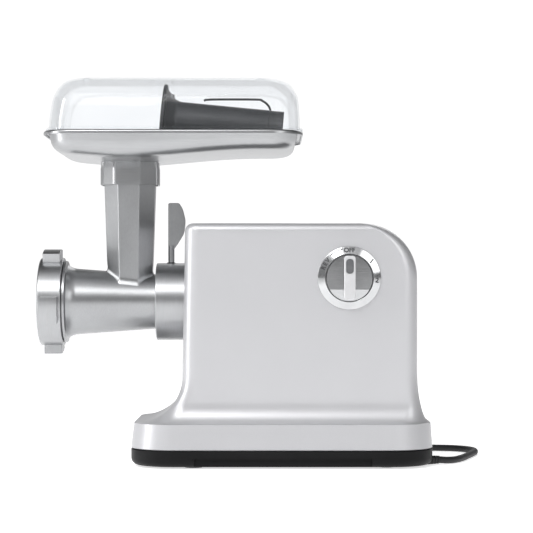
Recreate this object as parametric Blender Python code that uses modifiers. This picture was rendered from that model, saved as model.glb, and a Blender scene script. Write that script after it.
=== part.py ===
"""Electric meat grinder with a stored sausage horn under a clear lid, one object for each real piece.

Metres, +Z up. The grinding head points to -X, the dial faces -Y and the mains lead leaves at +X.
The origin is on the table, under the middle of the machine.
"""

import math

import bmesh
import bpy
from mathutils import Matrix, Vector

# Clearances and walls
GAP = 0.0003
SHELL_WALL = 0.0025
SHEET = 0.0012

# Grinding axis, along X
AXIS_Z = 0.151
THROAT_X = -0.0987

# Housing: flat sides, a rounded rear top corner and a flared skirt
HOUSING_FRONT, HOUSING_REAR, HOUSING_HALF, HOUSING_TOP = -0.044, 0.1685, 0.075, 0.223
HOUSING_CORNER = 0.013
FRONT_LEAN = 0.0040
REAR_TOP_RADIUS = 0.050
TOP_EDGE = 0.007
SKIRT_FRONT, SKIRT_REAR, SKIRT_HALF, SKIRT_TOP = -0.0917, 0.182, 0.088, 0.040
SKIRT_CORNER = 0.039
BASE_FRONT, BASE_REAR, BASE_HALF, BASE_TOP, BASE_CORNER = -0.0943, 0.1835, 0.0895, 0.017, 0.040
BASE_BOTTOM, PAN_FLOOR, PAN_WALL = 0.0015, 0.0045, 0.003
FLARE_FRONT_TOP, FLARE_REAR_TOP, FLARE_SIDE_TOP = 0.082, 0.090, 0.060
POST_PLACES = ((-0.062, -0.055), (-0.062, 0.055), (0.1745, -0.012), (0.1745, 0.012))
FOOT_PLACES = ((-0.036, -0.066), (-0.036, 0.066), (0.140, -0.062), (0.140, 0.062))

# Hub socket and clamp lever
SOCKET_FRONT, SOCKET_REAR, SOCKET_RADIUS, SOCKET_BORE = -0.0735, -0.0420, 0.0365, 0.0264
LEVER_X = -0.0599
LEVER_THICK = 0.0034
LEVER_BACK = (
    (-0.0570, 0.2010, 0),
    (-0.0521, 0.2082, 0),
    (-0.0478, 0.2162, 0),
    (-0.0465, 0.2257, 0),
    (-0.0470, 0.2310, 0),
    (-0.0492, 0.2390, 0),
    (-0.0522, 0.2440, 0),
)

# Barrel, auger, knife, plate and ring nut
BARREL_FRONT, THREAD_END, BARREL_REAR = -0.1765, -0.1565, -0.0485
BARREL_FRONT_RADIUS, BARREL_REAR_RADIUS, THREAD_RADIUS = 0.0317, 0.0260, 0.0370
PLATE_FRONT, PLATE_BACK, PLATE_RADIUS = -0.1772, -0.1722, 0.0310
KNIFE_BACK = -0.1655
KNIFE_BLADE = ((0.0100, -0.42), (0.0258, -0.20), (0.0266, 0.02), (0.0250, 0.10), (0.0105, 0.30))
PLATE_HOLE, PLATE_RINGS = 0.0024, ((0.0102, 6), (0.0172, 10), (0.0243, 14))
NUT_FRONT, NUT_BACK, NUT_RADIUS, LUG_RADIUS = -0.1835, -0.1612, 0.0415, 0.0495
LUG_START, LUG_HALF = math.radians(100), math.radians(15)
THROAT_TOP, THROAT_TOP_FLATS, THROAT_LOW, THROAT_LOW_FLATS = 0.2770, 0.0490, 0.168, 0.0418

# Tray and lid
TRAY_FRONT, TRAY_REAR, TRAY_HALF, TRAY_CORNER, TRAY_RIM = -0.1700, 0.0590, 0.0765, 0.026, 0.3080
RIM_OVERHANG = 0.0038
SLEEVE_FLATS, SLEEVE_LOW, SLEEVE_TOP = 0.0550, 0.2611, 0.2798

# Retaining wire over the second horn, as (x, z)
BAIL_Y = 0.0360
BAIL_ROUTE = (
    (-0.0300, 0.3452),
    (-0.0240, 0.3466),
    (0.0200, 0.3466),
    (0.0262, 0.3455),
    (0.0320, 0.3410),
    (0.0345, 0.3340),
    (0.0352, 0.3150),
    (0.0352, 0.2960),
)

# Dial on the near side
DIAL_X, DIAL_Z = 0.1058, 0.1729
BEZEL_RADIUS, KNOB_RADIUS = 0.0288, 0.0210

# Motor and gears, on axes one above the other
MODULE_FAST, MODULE_SLOW = 0.0014, 0.0015
PINION_TEETH, WHEEL_TEETH, SMALL_TEETH, OUTPUT_TEETH = 9, 36, 10, 40
MESH_SLACK = 0.00025
LAY_Z = AXIS_Z - (SMALL_TEETH + OUTPUT_TEETH) * MODULE_SLOW / 2 - MESH_SLACK
MOTOR_Z = LAY_Z - (PINION_TEETH + WHEEL_TEETH) * MODULE_FAST / 2 - MESH_SLACK
SHAFT = 0.0040
BEARING_BORE = SHAFT + GAP
ARMATURE_RADIUS, STACK_FRONT, STACK_REAR = 0.0200, 0.0260, 0.0590
BRACKET_FRONT, BRACKET_REAR = 0.0900, 0.0940
BOLT_Y, BOLT_RADIUS = 0.0425, 0.0020

# Mains lead
CORD_RADIUS = 0.0032
CORD_LIE = CORD_RADIUS + 0.0001
RELIEF_START = Vector((0.1715, -0.0476, 0.0045))
RELIEF_END = Vector((0.1905, -0.0395, 0.0045))
COIL_CENTRE, COIL_MEAN, COIL_TUBE = (0.085, 0.156), 0.0375, 0.0070
CORD_ROUTE = (
    (0.1909, -0.0393, 0.0044),
    (0.1975, -0.0357, 0.0037),
    (0.2040, -0.0297, CORD_LIE),
    (0.2095, -0.0217, CORD_LIE),
    (0.2140, -0.0120, CORD_LIE),
    (0.2185, 0.0005, CORD_LIE),
    (0.2230, 0.0150, CORD_LIE),
    (0.2275, 0.0300, CORD_LIE),
    (0.2320, 0.0450, CORD_LIE),
    (0.2352, 0.0600, CORD_LIE),
    (0.2345, 0.0755, CORD_LIE),
    (0.2280, 0.0890, CORD_LIE),
    (0.2160, 0.0985, CORD_LIE),
    (0.2005, 0.1030, CORD_LIE),
    (0.1800, 0.1042, CORD_LIE),
    (0.1550, 0.1052, CORD_LIE),
    (0.1300, 0.1078, CORD_LIE),
    (0.1060, 0.1118, CORD_LIE),
)
TAIL_ROUTE = (
    (0.0680, 0.1082, 0.0095),
    (0.0560, 0.1082, 0.0086),
    (0.0430, 0.1090, 0.0082),
    (0.0290, 0.1112, 0.0103),
    (0.0163, 0.1130, 0.0135),
)
PLUG_AT = Vector((-0.0240, 0.1145, 0.0137))
PLUG_SIZE = (0.040, 0.035, 0.0265)

TURN = 2 * math.pi
SMOOTH_BELOW = math.radians(32)


# ---------------------------------------------------------------- scene and materials


def clear_scene():
    for item in list(bpy.data.objects):
        bpy.data.objects.remove(item, do_unlink=True)


def new_collection(name):
    group = bpy.data.collections.new(name)
    bpy.context.scene.collection.children.link(group)
    return group


def paint(name, colour, roughness, metallic=0.0, alpha=1.0):
    """A Principled material, made once for each name."""
    material = bpy.data.materials.get(name) or bpy.data.materials.new(name)
    material.use_nodes = True
    shader = material.node_tree.nodes["Principled BSDF"]
    shader.inputs["Base Color"].default_value = (*colour, 1.0)
    shader.inputs["Roughness"].default_value = roughness
    shader.inputs["Metallic"].default_value = metallic
    shader.inputs["Alpha"].default_value = alpha
    return material


clear_scene()
PARTS = new_collection("electric_meat_grinder")
CUTTERS = new_collection("cutters")

SILVER = paint("silver_shell", (0.66, 0.66, 0.68), 0.38, 0.55)
BLACK = paint("black_base", (0.02, 0.02, 0.022), 0.5)
RUBBER = paint("rubber", (0.03, 0.03, 0.03), 0.8)
CAST = paint("cast_metal", (0.62, 0.63, 0.64), 0.3, 1.0)
SHEET_STEEL = paint("tray_steel", (0.68, 0.69, 0.70), 0.25, 1.0)
STEEL = paint("steel", (0.55, 0.56, 0.58), 0.3, 1.0)
CHROME = paint("chrome", (0.80, 0.80, 0.82), 0.08, 1.0)
CLEAR = paint("clear_plastic", (0.93, 0.95, 0.97), 0.05, 0.0, 0.25)
HORN = paint("dark_plastic", (0.075, 0.077, 0.08), 0.4)
GREY = paint("grey_plastic", (0.35, 0.35, 0.36), 0.4)
COPPER = paint("copper_winding", (0.62, 0.26, 0.12), 0.35, 1.0)
BRASS = paint("brass", (0.70, 0.52, 0.22), 0.3, 1.0)
NYLON = paint("nylon_gear", (0.78, 0.77, 0.72), 0.45)


# ---------------------------------------------------------------- making shapes


def added(name, mesh, material, group=None):
    item = bpy.data.objects.new(name, mesh)
    (group or PARTS).objects.link(item)
    item.data.materials.append(material)
    return item


def frame_along(axis, place):
    """A matrix that takes local Z to the named world axis, with its origin at place."""
    turns = {
        "X": ((0, 0, 1), (1, 0, 0), (0, 1, 0)),
        "Y": ((0, 1, 0), (0, 0, 1), (1, 0, 0)),
        "Z": ((1, 0, 0), (0, 1, 0), (0, 0, 1)),
    }
    return Matrix.Translation(place) @ Matrix(turns[axis]).to_4x4()


def aimed(start, end):
    """A matrix that takes local Z to the line from start to end, with its origin at start."""
    return Matrix.Translation(start) @ (end - start).to_track_quat("Z", "Y").to_matrix().to_4x4()


def placed(item, axis, place):
    """Writes the place into the mesh, so that each object keeps its origin for its joint."""
    item.data.transform(frame_along(axis, Vector(place)))
    return item


def baked(item):
    """The object with its modifiers applied, as a mesh with welded caps."""
    bpy.context.view_layer.update()
    graph = bpy.context.evaluated_depsgraph_get()
    mesh = bpy.data.meshes.new_from_object(item.evaluated_get(graph))
    work = bmesh.new()
    work.from_mesh(mesh)
    bmesh.ops.remove_doubles(work, verts=work.verts, dist=1e-6)
    work.to_mesh(mesh)
    work.free()
    name = item.name
    group = item.users_collection[0]
    bpy.data.objects.remove(item)
    made = bpy.data.objects.new(name, mesh)
    group.objects.link(made)
    return made


def turned(name, profile, material, axis="X", place=(0, 0, AXIS_Z), steps=48, ring=False):
    """A turned solid from (radius, height) points down its outer side; a ring's are a closed loop."""
    mesh = bpy.data.meshes.new(name)
    count = len(profile)
    edges = [(i, i + 1) for i in range(count - 1)] + ([(count - 1, 0)] if ring else [])
    mesh.from_pydata([(radius, 0, height) for radius, height in profile], edges, [])
    item = added(name, mesh, material)
    screw = item.modifiers.new("turn", "SCREW")
    screw.steps = screw.render_steps = steps
    screw.use_merge_vertices = True
    screw.merge_threshold = 1e-5
    return placed(baked(item), axis, place)


def cylinder(name, radius, low, high, material, axis="X", place=(0, 0, AXIS_Z), steps=32, tip=None):
    """A cylinder or, with tip, a cone between two heights on its axis."""
    tip = radius if tip is None else tip
    return turned(name, [(0, high), (tip, high), (radius, low), (0, low)], material, axis, place, steps)


def tube(name, outer, inner, low, high, material, axis="X", place=(0, 0, AXIS_Z), steps=40):
    profile = [(outer, high), (outer, low), (inner, low), (inner, high)]
    return turned(name, profile, material, axis, place, steps, ring=True)


def slab(name, outline, low, high, material, axis="X", place=(0, 0, 0)):
    """A flat outline with a thickness: (y, z) for X, (z, x) for Y and (x, y) for Z."""
    curve = bpy.data.curves.new(name, "CURVE")
    curve.dimensions = "2D"
    curve.fill_mode = "BOTH"
    curve.extrude = (high - low) / 2
    spline = curve.splines.new("POLY")
    spline.points.add(len(outline) - 1)
    for point, (u, v) in zip(spline.points, outline):
        point.co = (u, v, 0, 1)
    spline.use_cyclic_u = True
    item = bpy.data.objects.new(name, curve)
    PARTS.objects.link(item)
    item = baked(item)
    item.data.materials.clear()
    item.data.materials.append(material)
    item.data.transform(Matrix.Translation((0, 0, (low + high) / 2)))
    return placed(item, axis, place)


def block(name, low, high, material, bevel=0.0, segments=2):
    """A box between two corners, with rounded edges when bevel is set."""
    work = bmesh.new()
    bmesh.ops.create_cube(work, size=1)
    low, high = Vector(low), Vector(high)
    for vertex in work.verts:
        vertex.co = (low + high) / 2 + Vector(a * b for a, b in zip(vertex.co, high - low))
    mesh = bpy.data.meshes.new(name)
    work.to_mesh(mesh)
    work.free()
    item = added(name, mesh, material)
    if bevel:
        rounding = item.modifiers.new("edges", "BEVEL")
        rounding.width = bevel
        rounding.segments = segments
        item = baked(item)
    return item


def loft(name, rings, material, closed=True, cap_first=True, cap_last=True):
    """Faces between rings of equally many points, with an end face on the first and last ring."""
    work = bmesh.new()
    rows = [[work.verts.new(point) for point in ring] for ring in rings]
    count = len(rings[0])
    for row, above in zip(rows, rows[1:]):
        for i in range(count):
            j = (i + 1) % count
            work.faces.new((row[i], row[j], above[j], above[i]))
    if closed and cap_first:
        work.faces.new(list(reversed(rows[0])))
    if closed and cap_last:
        work.faces.new(rows[-1])
    mesh = bpy.data.meshes.new(name)
    work.to_mesh(mesh)
    work.free()
    return added(name, mesh, material)


def walled(item, thickness):
    """Gives an open surface a wall on its inner side."""
    wall = item.modifiers.new("wall", "SOLIDIFY")
    wall.thickness = thickness
    wall.offset = -1
    wall.use_even_offset = True
    return baked(item)


def joined(item, *others, operation="UNION"):
    """item with the others added to it, or cut from it."""
    for other in others:
        name = other.name
        other.name = "tool_" + name
        PARTS.objects.unlink(other)
        CUTTERS.objects.link(other)
        other.hide_render = True
        other.display_type = "WIRE"
        step = item.modifiers.new(name, "BOOLEAN")
        step.operation = operation
        step.solver = "EXACT"
        step.object = other
    return baked(item)


def cut(item, *others):
    return joined(item, *others, operation="DIFFERENCE")


def rounded_rectangle(low, high, radius, corner_steps=4):
    """Points anticlockwise round a rectangle from low to high, (x, y) corners, with round corners."""
    centres = (
        (high[0] - radius, high[1] - radius, 0),
        (low[0] + radius, high[1] - radius, 1),
        (low[0] + radius, low[1] + radius, 2),
        (high[0] - radius, low[1] + radius, 3),
    )
    points = []
    for x, y, quarter in centres:
        for step in range(corner_steps + 1):
            angle = TURN / 4 * (quarter + step / corner_steps)
            points.append((x + radius * math.cos(angle), y + radius * math.sin(angle)))
    return points


def octagon(centre, flats):
    """The corners of a regular octagon whose flats face X and Y."""
    radius = flats / 2 / math.cos(math.pi / 8)
    angles = [TURN * (i + 0.5) / 8 for i in range(8)]
    return [(centre[0] + radius * math.cos(a), centre[1] + radius * math.sin(a)) for a in angles]


def octagon_reach(angle, flats):
    """How far an octagon reaches from its centre in a direction."""
    from_flat = (angle + math.pi / 8) % (TURN / 8) - math.pi / 8
    return flats / 2 / math.cos(from_flat)


def circle(radius, centre=(0, 0), steps=24, start=0.0):
    angles = [start + TURN * i / steps for i in range(steps)]
    return [(centre[0] + radius * math.cos(a), centre[1] + radius * math.sin(a)) for a in angles]


def smooth_line(points, spacing):
    """Points about spacing apart on a centripetal Catmull-Rom curve through the given ones."""
    points = [Vector(p) for p in points]
    ends = [2 * points[0] - points[1], *points, 2 * points[-1] - points[-2]]
    line = [points[0]]
    for a, b, c, d in zip(ends, ends[1:], ends[2:], ends[3:]):
        steps = max(1, round((c - b).length / spacing))
        for k in range(1, steps + 1):
            t = k / steps
            square = (2 * a - 5 * b + 4 * c - d) * t**2
            cube = (3 * b - a - 3 * c + d) * t**3
            line.append(0.5 * (2 * b + (c - a) * t + square + cube))
    return line


def wire(name, points, radius, material, sides=2, closed=False):
    """A round tube along a line, with filled ends."""
    curve = bpy.data.curves.new(name, "CURVE")
    curve.dimensions = "3D"
    curve.bevel_depth = radius
    curve.bevel_resolution = sides
    curve.use_fill_caps = not closed
    spline = curve.splines.new("POLY")
    spline.points.add(len(points) - 1)
    for point, place in zip(spline.points, points):
        point.co = (*place, 1)
    spline.use_cyclic_u = closed
    item = bpy.data.objects.new(name, curve)
    PARTS.objects.link(item)
    item = baked(item)
    item.data.materials.clear()
    item.data.materials.append(material)
    return item


# ---------------------------------------------------------------- housing and base


def flare(low, high, z, inner, outer):
    """The wall's place at height z: a flare leaves the upright wall at high and ends level at low."""
    if z >= high:
        return inner
    drop = min(1.0, (high - z) / (high - low))
    return outer + (inner - outer) * math.sqrt(1 - drop * drop)


def housing_section(z):
    """The housing's outline at height z."""
    upright = HOUSING_FRONT - FRONT_LEAN * (HOUSING_TOP - z) / HOUSING_TOP
    front = flare(SKIRT_TOP, FLARE_FRONT_TOP, z, upright, SKIRT_FRONT)
    rear = flare(SKIRT_TOP, FLARE_REAR_TOP, z, HOUSING_REAR, SKIRT_REAR)
    half = flare(SKIRT_TOP, FLARE_SIDE_TOP, z, HOUSING_HALF, SKIRT_HALF)
    spread = (half - HOUSING_HALF) / (SKIRT_HALF - HOUSING_HALF)
    corner = HOUSING_CORNER + (SKIRT_CORNER - HOUSING_CORNER) * spread
    above = z - (HOUSING_TOP - REAR_TOP_RADIUS)
    if above > 0:
        rear -= REAR_TOP_RADIUS - math.sqrt(max(0.0, REAR_TOP_RADIUS**2 - above**2))
    near_top = z - (HOUSING_TOP - TOP_EDGE)
    if near_top > 0:
        shrink = TOP_EDGE - math.sqrt(max(0.0, TOP_EDGE**2 - near_top**2))
        front += shrink
        half -= shrink
        corner = max(0.004, corner - shrink)
    return [(x, y, z) for x, y in rounded_rectangle((front, -half), (rear, half), corner)]


def housing():
    heights = [SKIRT_TOP + d for d in (0.0, 0.0008, 0.003, 0.007, 0.012, 0.020, 0.030, 0.042, 0.050)]
    heights += [0.173, 0.190, 0.204, 0.213, 0.2175, 0.2210, HOUSING_TOP]
    skirt = rounded_rectangle((BASE_FRONT, -BASE_HALF), (BASE_REAR, BASE_HALF), BASE_CORNER)
    rings = [[(x, y, BASE_TOP) for x, y in skirt]] + [housing_section(z) for z in heights]
    shell = loft("housing_shell", rings, SILVER, cap_first=False)
    shell = walled(shell, SHELL_WALL)
    posts = []
    for x, y in POST_PLACES:
        top = 0.046 if x < 0 else 0.038
        posts.append(cylinder("post", 0.0055, BASE_TOP + 0.0002, top, SILVER, "Z", (x, y, 0), 12))
    shell = joined(shell, *posts)
    holes = [cylinder("pilot", 0.0020, 0, 0.030, SILVER, "Z", (x, y, 0), 8) for x, y in POST_PLACES]
    wall = (HOUSING_FRONT - 0.01, HOUSING_FRONT + 0.01)
    spigot_hole = cylinder("spigot_hole", SOCKET_RADIUS + GAP, *wall, SILVER, steps=48)
    switch_hole = cylinder("switch_hole", 0.0056, -0.080, -0.065, SILVER, "Y", (DIAL_X, 0, DIAL_Z), 24)
    return cut(shell, spigot_hole, switch_hole, *holes)


def base_ring(inset, z):
    low = (BASE_FRONT + inset, -BASE_HALF + inset)
    high = (BASE_REAR - inset, BASE_HALF - inset)
    return [(x, y, z) for x, y in rounded_rectangle(low, high, BASE_CORNER - inset)]


def base_pan():
    levels = ((0.0070, 0.0), (0.0022, 0.0018), (0.0, 0.0065))
    rings = [base_ring(inset, BASE_BOTTOM + up) for inset, up in levels] + [base_ring(0, BASE_TOP - GAP)]
    pan = loft("base_pan", rings, BLACK)
    near_wall = 0.0075
    low = (BASE_FRONT + PAN_WALL, -BASE_HALF + near_wall)
    high = (BASE_REAR - PAN_WALL, BASE_HALF - PAN_WALL)
    hollow = rounded_rectangle(low, high, BASE_CORNER - 0.006)
    pan = cut(pan, slab("hollow", hollow, PAN_FLOOR, 0.03, BLACK, "Z"))
    bosses = []
    for x, y in POST_PLACES:
        bosses.append(cylinder("boss", 0.0065, 0.003, BASE_TOP - GAP, BLACK, "Z", (x, y, 0), 12))
    pan = joined(pan, *bosses)
    tools = [block("recess", (-0.035, -0.1, 0.0), (0.126, -BASE_HALF + 0.0035, 0.0093), BLACK)]
    for x, y in POST_PLACES:
        tools.append(cylinder("counterbore", 0.0040, 0, 0.0080, BLACK, "Z", (x, y, 0), 12))
        tools.append(cylinder("screw_hole", 0.0020, 0, 0.03, BLACK, "Z", (x, y, 0), 12))
    for x, y in FOOT_PLACES:
        tools.append(cylinder("foot_pocket", 0.0094, 0, 0.0032, BLACK, "Z", (x, y, 0), 20))
    for i in range(4):
        left = 0.030 + 0.016 * i
        tools.append(block(f"vent_{i}", (left, -0.030, 0), (left + 0.004, 0.030, 0.01), BLACK))
    relief = slab("relief_hole", circle(0.0050, steps=16), -0.004, 0.040, BLACK, "Z")
    relief.data.transform(aimed(RELIEF_START, RELIEF_END))
    tools.append(relief)
    return cut(pan, *tools)


def feet_and_screws():
    made = []
    for i, (x, y) in enumerate(FOOT_PLACES, 1):
        made.append(cylinder(f"foot_{i}", 0.0090, 0.0, 0.0029, RUBBER, "Z", (x, y, 0), 20, tip=0.0086))
    for i, (x, y) in enumerate(POST_PLACES, 1):
        profile = [(0, 0.0280), (0.0016, 0.0280), (0.0016, 0.0077)]
        profile += [(0.0035, 0.0077), (0.0035, 0.0050), (0, 0.0050)]
        made.append(turned(f"base_screw_{i}", profile, STEEL, "Z", (x, y, 0), 12))
    return made


# ---------------------------------------------------------------- hub socket and clamp lever


def hub_socket():
    radius, lip = SOCKET_RADIUS, 0.0010
    profile = [
        (0.0275, -0.0385),
        (0.0275, SOCKET_REAR),
        (radius, SOCKET_REAR),
        (radius, SOCKET_FRONT + lip),
        (radius - lip, SOCKET_FRONT),
        (SOCKET_BORE, SOCKET_FRONT),
        (SOCKET_BORE, BARREL_REAR + 0.0008),
        (0.0150, BARREL_REAR + 0.0008),
        (0.0150, -0.0385),
    ]
    socket = turned("hub_socket", profile, CAST, steps=48, ring=True)
    pocket = block("pocket", (-0.0642, -0.0043, 0.1792), (-0.0556, 0.0043, 0.20), CAST)
    stem_way = cylinder("stem_way", 0.0036, 0.170, 0.20, CAST, "Z", (LEVER_X, 0, 0), 20)
    return cut(socket, pocket, stem_way)


def lever_bush():
    bush = block("lever_bush", (-0.0639, -0.0040, 0.1795), (-0.0559, 0.0040, 0.1880), BLACK, 0.0004, 1)
    return cut(bush, cylinder("stem_hole", 0.0033, 0.17, 0.20, BLACK, "Z", (LEVER_X, 0, 0), 20))


def lock_lever():
    edge = LEVER_X - 0.0029
    back = smooth_line(LEVER_BACK, 0.003)
    outline = [(edge, 0.1900), (-0.0570, 0.1900), *[(p.x, p.y) for p in back]]
    outline += [(-0.0535, 0.2446), (edge + 0.0018, 0.2446), (edge, 0.2432)]
    outline = [(z, x) for x, z in outline]
    flag = slab("lock_lever", outline, -LEVER_THICK / 2, LEVER_THICK / 2, CAST, "Y")
    stem = cylinder("stem", 0.0029, 0.1776, 0.2040, CAST, "Z", (LEVER_X, 0, 0), 20)
    return joined(flag, stem)


# ---------------------------------------------------------------- grinding head


def barrel_radius(x):
    """The barrel's outer radius, which shrinks from the thread to the shank."""
    share = (x - THREAD_END) / (SOCKET_FRONT - 0.004 - THREAD_END)
    return BARREL_FRONT_RADIUS + (BARREL_REAR_RADIUS - BARREL_FRONT_RADIUS) * share


def grinder_head():
    shank = SOCKET_FRONT - 0.0040
    profile = [
        (0.0, BARREL_REAR),
        (BARREL_REAR_RADIUS - 0.001, BARREL_REAR),
        (BARREL_REAR_RADIUS, BARREL_REAR - 0.001),
        (BARREL_REAR_RADIUS, shank),
        (barrel_radius(-0.151), -0.151),
        (0.0345, -0.1575),
        (0.0385, -0.1580),
        (0.0385, -0.1606),
        (THREAD_RADIUS, -0.1610),
        (THREAD_RADIUS, BARREL_FRONT + 0.0006),
        (THREAD_RADIUS - 0.0006, BARREL_FRONT),
        (0.0, BARREL_FRONT),
    ]
    body = turned("grinder_head", profile, CAST, steps=52)
    rings = []
    for z, flats in ((THROAT_LOW, THROAT_LOW_FLATS), (THROAT_TOP, THROAT_TOP_FLATS)):
        rings.append([(x, y, z) for x, y in octagon((THROAT_X, 0), flats)])
    body = joined(body, loft("throat", rings, CAST))
    way = []
    for z, flats in ((AXIS_Z, THROAT_LOW_FLATS - 0.007), (THROAT_TOP + 0.01, THROAT_TOP_FLATS - 0.006)):
        way.append([(x, y, z) for x, y in octagon((THROAT_X, 0), flats)])
    bore = [
        (0.0, -0.0740),
        (0.0218, -0.0780),
        (0.0276, -0.1600),
        (0.0276, PLATE_BACK + 0.0005),
        (PLATE_RADIUS + GAP, PLATE_BACK + 0.0005),
        (PLATE_RADIUS + GAP, BARREL_FRONT - 0.01),
        (0.0, BARREL_FRONT - 0.01),
    ]
    tools = (
        loft("throat_way", way, CAST),
        turned("barrel_bore", bore, CAST, steps=40),
        cylinder("shaft_bore", 0.0105, -0.09, -0.04, CAST, steps=24),
        cylinder("dog_bore", 0.0135, -0.0625, -0.04, CAST, steps=32),
    )
    return cut(body, *tools)


def flight(core, radius_front, radius_rear, front, rear, turns, thick, steps):
    """The auger's screw thread, a ribbon that widens towards the front."""
    rings = []
    for i in range(steps + 1):
        share = i / steps
        x = front + (rear - front) * share
        reach = radius_front + (radius_rear - radius_front) * share
        angle = TURN * turns * share
        y, z = math.cos(angle), math.sin(angle)
        half_tip, half_root = thick * 0.32, thick * 0.5
        rings.append(
            [
                (x - half_root, core * y, AXIS_Z + core * z),
                (x + half_root, core * y, AXIS_Z + core * z),
                (x + half_tip, reach * y, AXIS_Z + reach * z),
                (x - half_tip, reach * y, AXIS_Z + reach * z),
            ]
        )
    return loft("flight", rings, CAST)


def auger():
    front, rear = -0.1650, -0.0800
    profile = [
        (0.0, -0.0628),
        (0.0098, -0.0628),
        (0.0098, rear),
        (0.0125, rear),
        (0.0115, -0.120),
        (0.0095, front),
        (0.0, front),
    ]
    core = turned("auger", profile, CAST, steps=24)
    tail = slab("tail", circle(0.0075, (0, AXIS_Z), 6), -0.0640, -0.0520, CAST)
    square = slab("square", circle(0.0066, (0, AXIS_Z), 4, math.pi / 4), -0.1716, front + 0.002, CAST)
    pilot = cylinder("pilot_pin", 0.0040, -0.1795, -0.1700, CAST, steps=20)
    screw = flight(0.006, 0.0268, 0.0212, front + 0.0033, rear - 0.0040, 2.93, 0.0042, 54)
    return joined(core, screw, tail, square, pilot)


def auger_washer():
    return tube("auger_washer", 0.0180, 0.0101, -0.0797, -0.0782, NYLON, steps=32)


def knife():
    """The four-bladed knife on the auger's square, with its flat cutting faces on the plate."""
    outline = []
    for blade in range(4):
        start = TURN * blade / 4
        for radius, ahead in KNIFE_BLADE:
            angle = start + ahead
            outline.append((radius * math.cos(angle), AXIS_Z + radius * math.sin(angle)))
    blades = slab("knife", outline, PLATE_BACK + GAP, KNIFE_BACK, STEEL)
    square = circle(0.0071, (0, AXIS_Z), 4, math.pi / 4)
    return cut(blades, slab("square_hole", square, -0.18, -0.16, STEEL))


def cutting_plate():
    plate = cylinder("cutting_plate", PLATE_RADIUS, PLATE_FRONT, PLATE_BACK, STEEL, steps=48)
    tools = [cylinder("centre_hole", 0.0043, -0.19, -0.16, STEEL, steps=20)]
    for ring, count in PLATE_RINGS:
        for i in range(count):
            angle = TURN * i / count
            place = (0, ring * math.cos(angle), AXIS_Z + ring * math.sin(angle))
            tools.append(cylinder("mince_hole", PLATE_HOLE, -0.19, -0.16, STEEL, place=place, steps=8))
    notch = block("notch", (-0.19, -0.0024, AXIS_Z - 0.0330), (-0.16, 0.0024, AXIS_Z - 0.0290), STEEL)
    return cut(plate, *tools, notch)


def ring_nut():
    profile = [
        (NUT_RADIUS - 0.0008, NUT_BACK),
        (NUT_RADIUS, NUT_BACK - 0.0008),
        (NUT_RADIUS, NUT_FRONT + 0.0022),
        (NUT_RADIUS - 0.0022, NUT_FRONT),
        (0.0325, NUT_FRONT),
        (0.0285, PLATE_FRONT - 0.0005),
        (THREAD_RADIUS + 0.0005, PLATE_FRONT - 0.0005),
        (THREAD_RADIUS + 0.0005, NUT_BACK),
    ]
    nut = turned("ring_nut", profile, CAST, steps=52, ring=True)
    inner, half_foot = NUT_RADIUS - 0.0025, 1.15 * LUG_HALF
    lugs = []
    for lug in range(4):
        centre = LUG_START + TURN * lug / 4
        arc = [(LUG_RADIUS, centre + LUG_HALF * k / 3) for k in range(-3, 4)]
        outline = [(inner, centre - half_foot), *arc, (inner, centre + half_foot)]
        points = [(r * math.cos(a), AXIS_Z + r * math.sin(a)) for r, a in outline]
        lugs.append(slab(f"lug_{lug}", points, NUT_FRONT + 0.0035, NUT_BACK - 0.0022, CAST))
    return joined(nut, *lugs)


# ---------------------------------------------------------------- tray, lid and what they hold


def tray_floor(x):
    """Height of the tray's underside along its length, lowest at the throat."""
    return 0.2832 + 0.0078 * math.sin(min(1.0, abs(x - THROAT_X) / 0.125) * math.pi / 2) ** 1.6


def tray_outline(inset):
    """The tray's outline, with points along its sides opposite the corners of the throat's octagon."""
    corner = max(0.008, TRAY_CORNER - inset)
    front, rear, half = TRAY_FRONT + inset, TRAY_REAR - inset, TRAY_HALF - inset
    corners = rounded_rectangle((front, -half), (rear, half), corner, 4)
    beside = half * math.tan(math.pi / 8)
    ahead = (THROAT_X - front) * math.tan(math.pi / 8)
    along = (THROAT_X + 0.080, THROAT_X + beside, THROAT_X, THROAT_X - beside)
    points = corners[:5] + [(x, half) for x in along] + corners[5:10]
    points += [(front, y) for y in (ahead, 0.0, -ahead)] + corners[10:15]
    points += [(x, -half) for x in reversed(along)] + corners[15:]
    return points + [(rear, y) for y in (-0.022, 0.0, 0.022)]


def octagon_ring(outline, flats):
    """A point of the throat's octagon for each point of the outline, with its corners kept."""
    angles = [math.atan2(y, x - THROAT_X) for x, y in outline]
    for i in range(8):
        corner = TURN * (i + 0.5) / 8
        gaps = [abs(math.remainder(angle - corner, TURN)) for angle in angles]
        angles[gaps.index(min(gaps))] = corner
    reach = [octagon_reach(angle, flats) for angle in angles]
    return [(THROAT_X + r * math.cos(a), r * math.sin(a)) for r, a in zip(reach, angles)]


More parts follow.
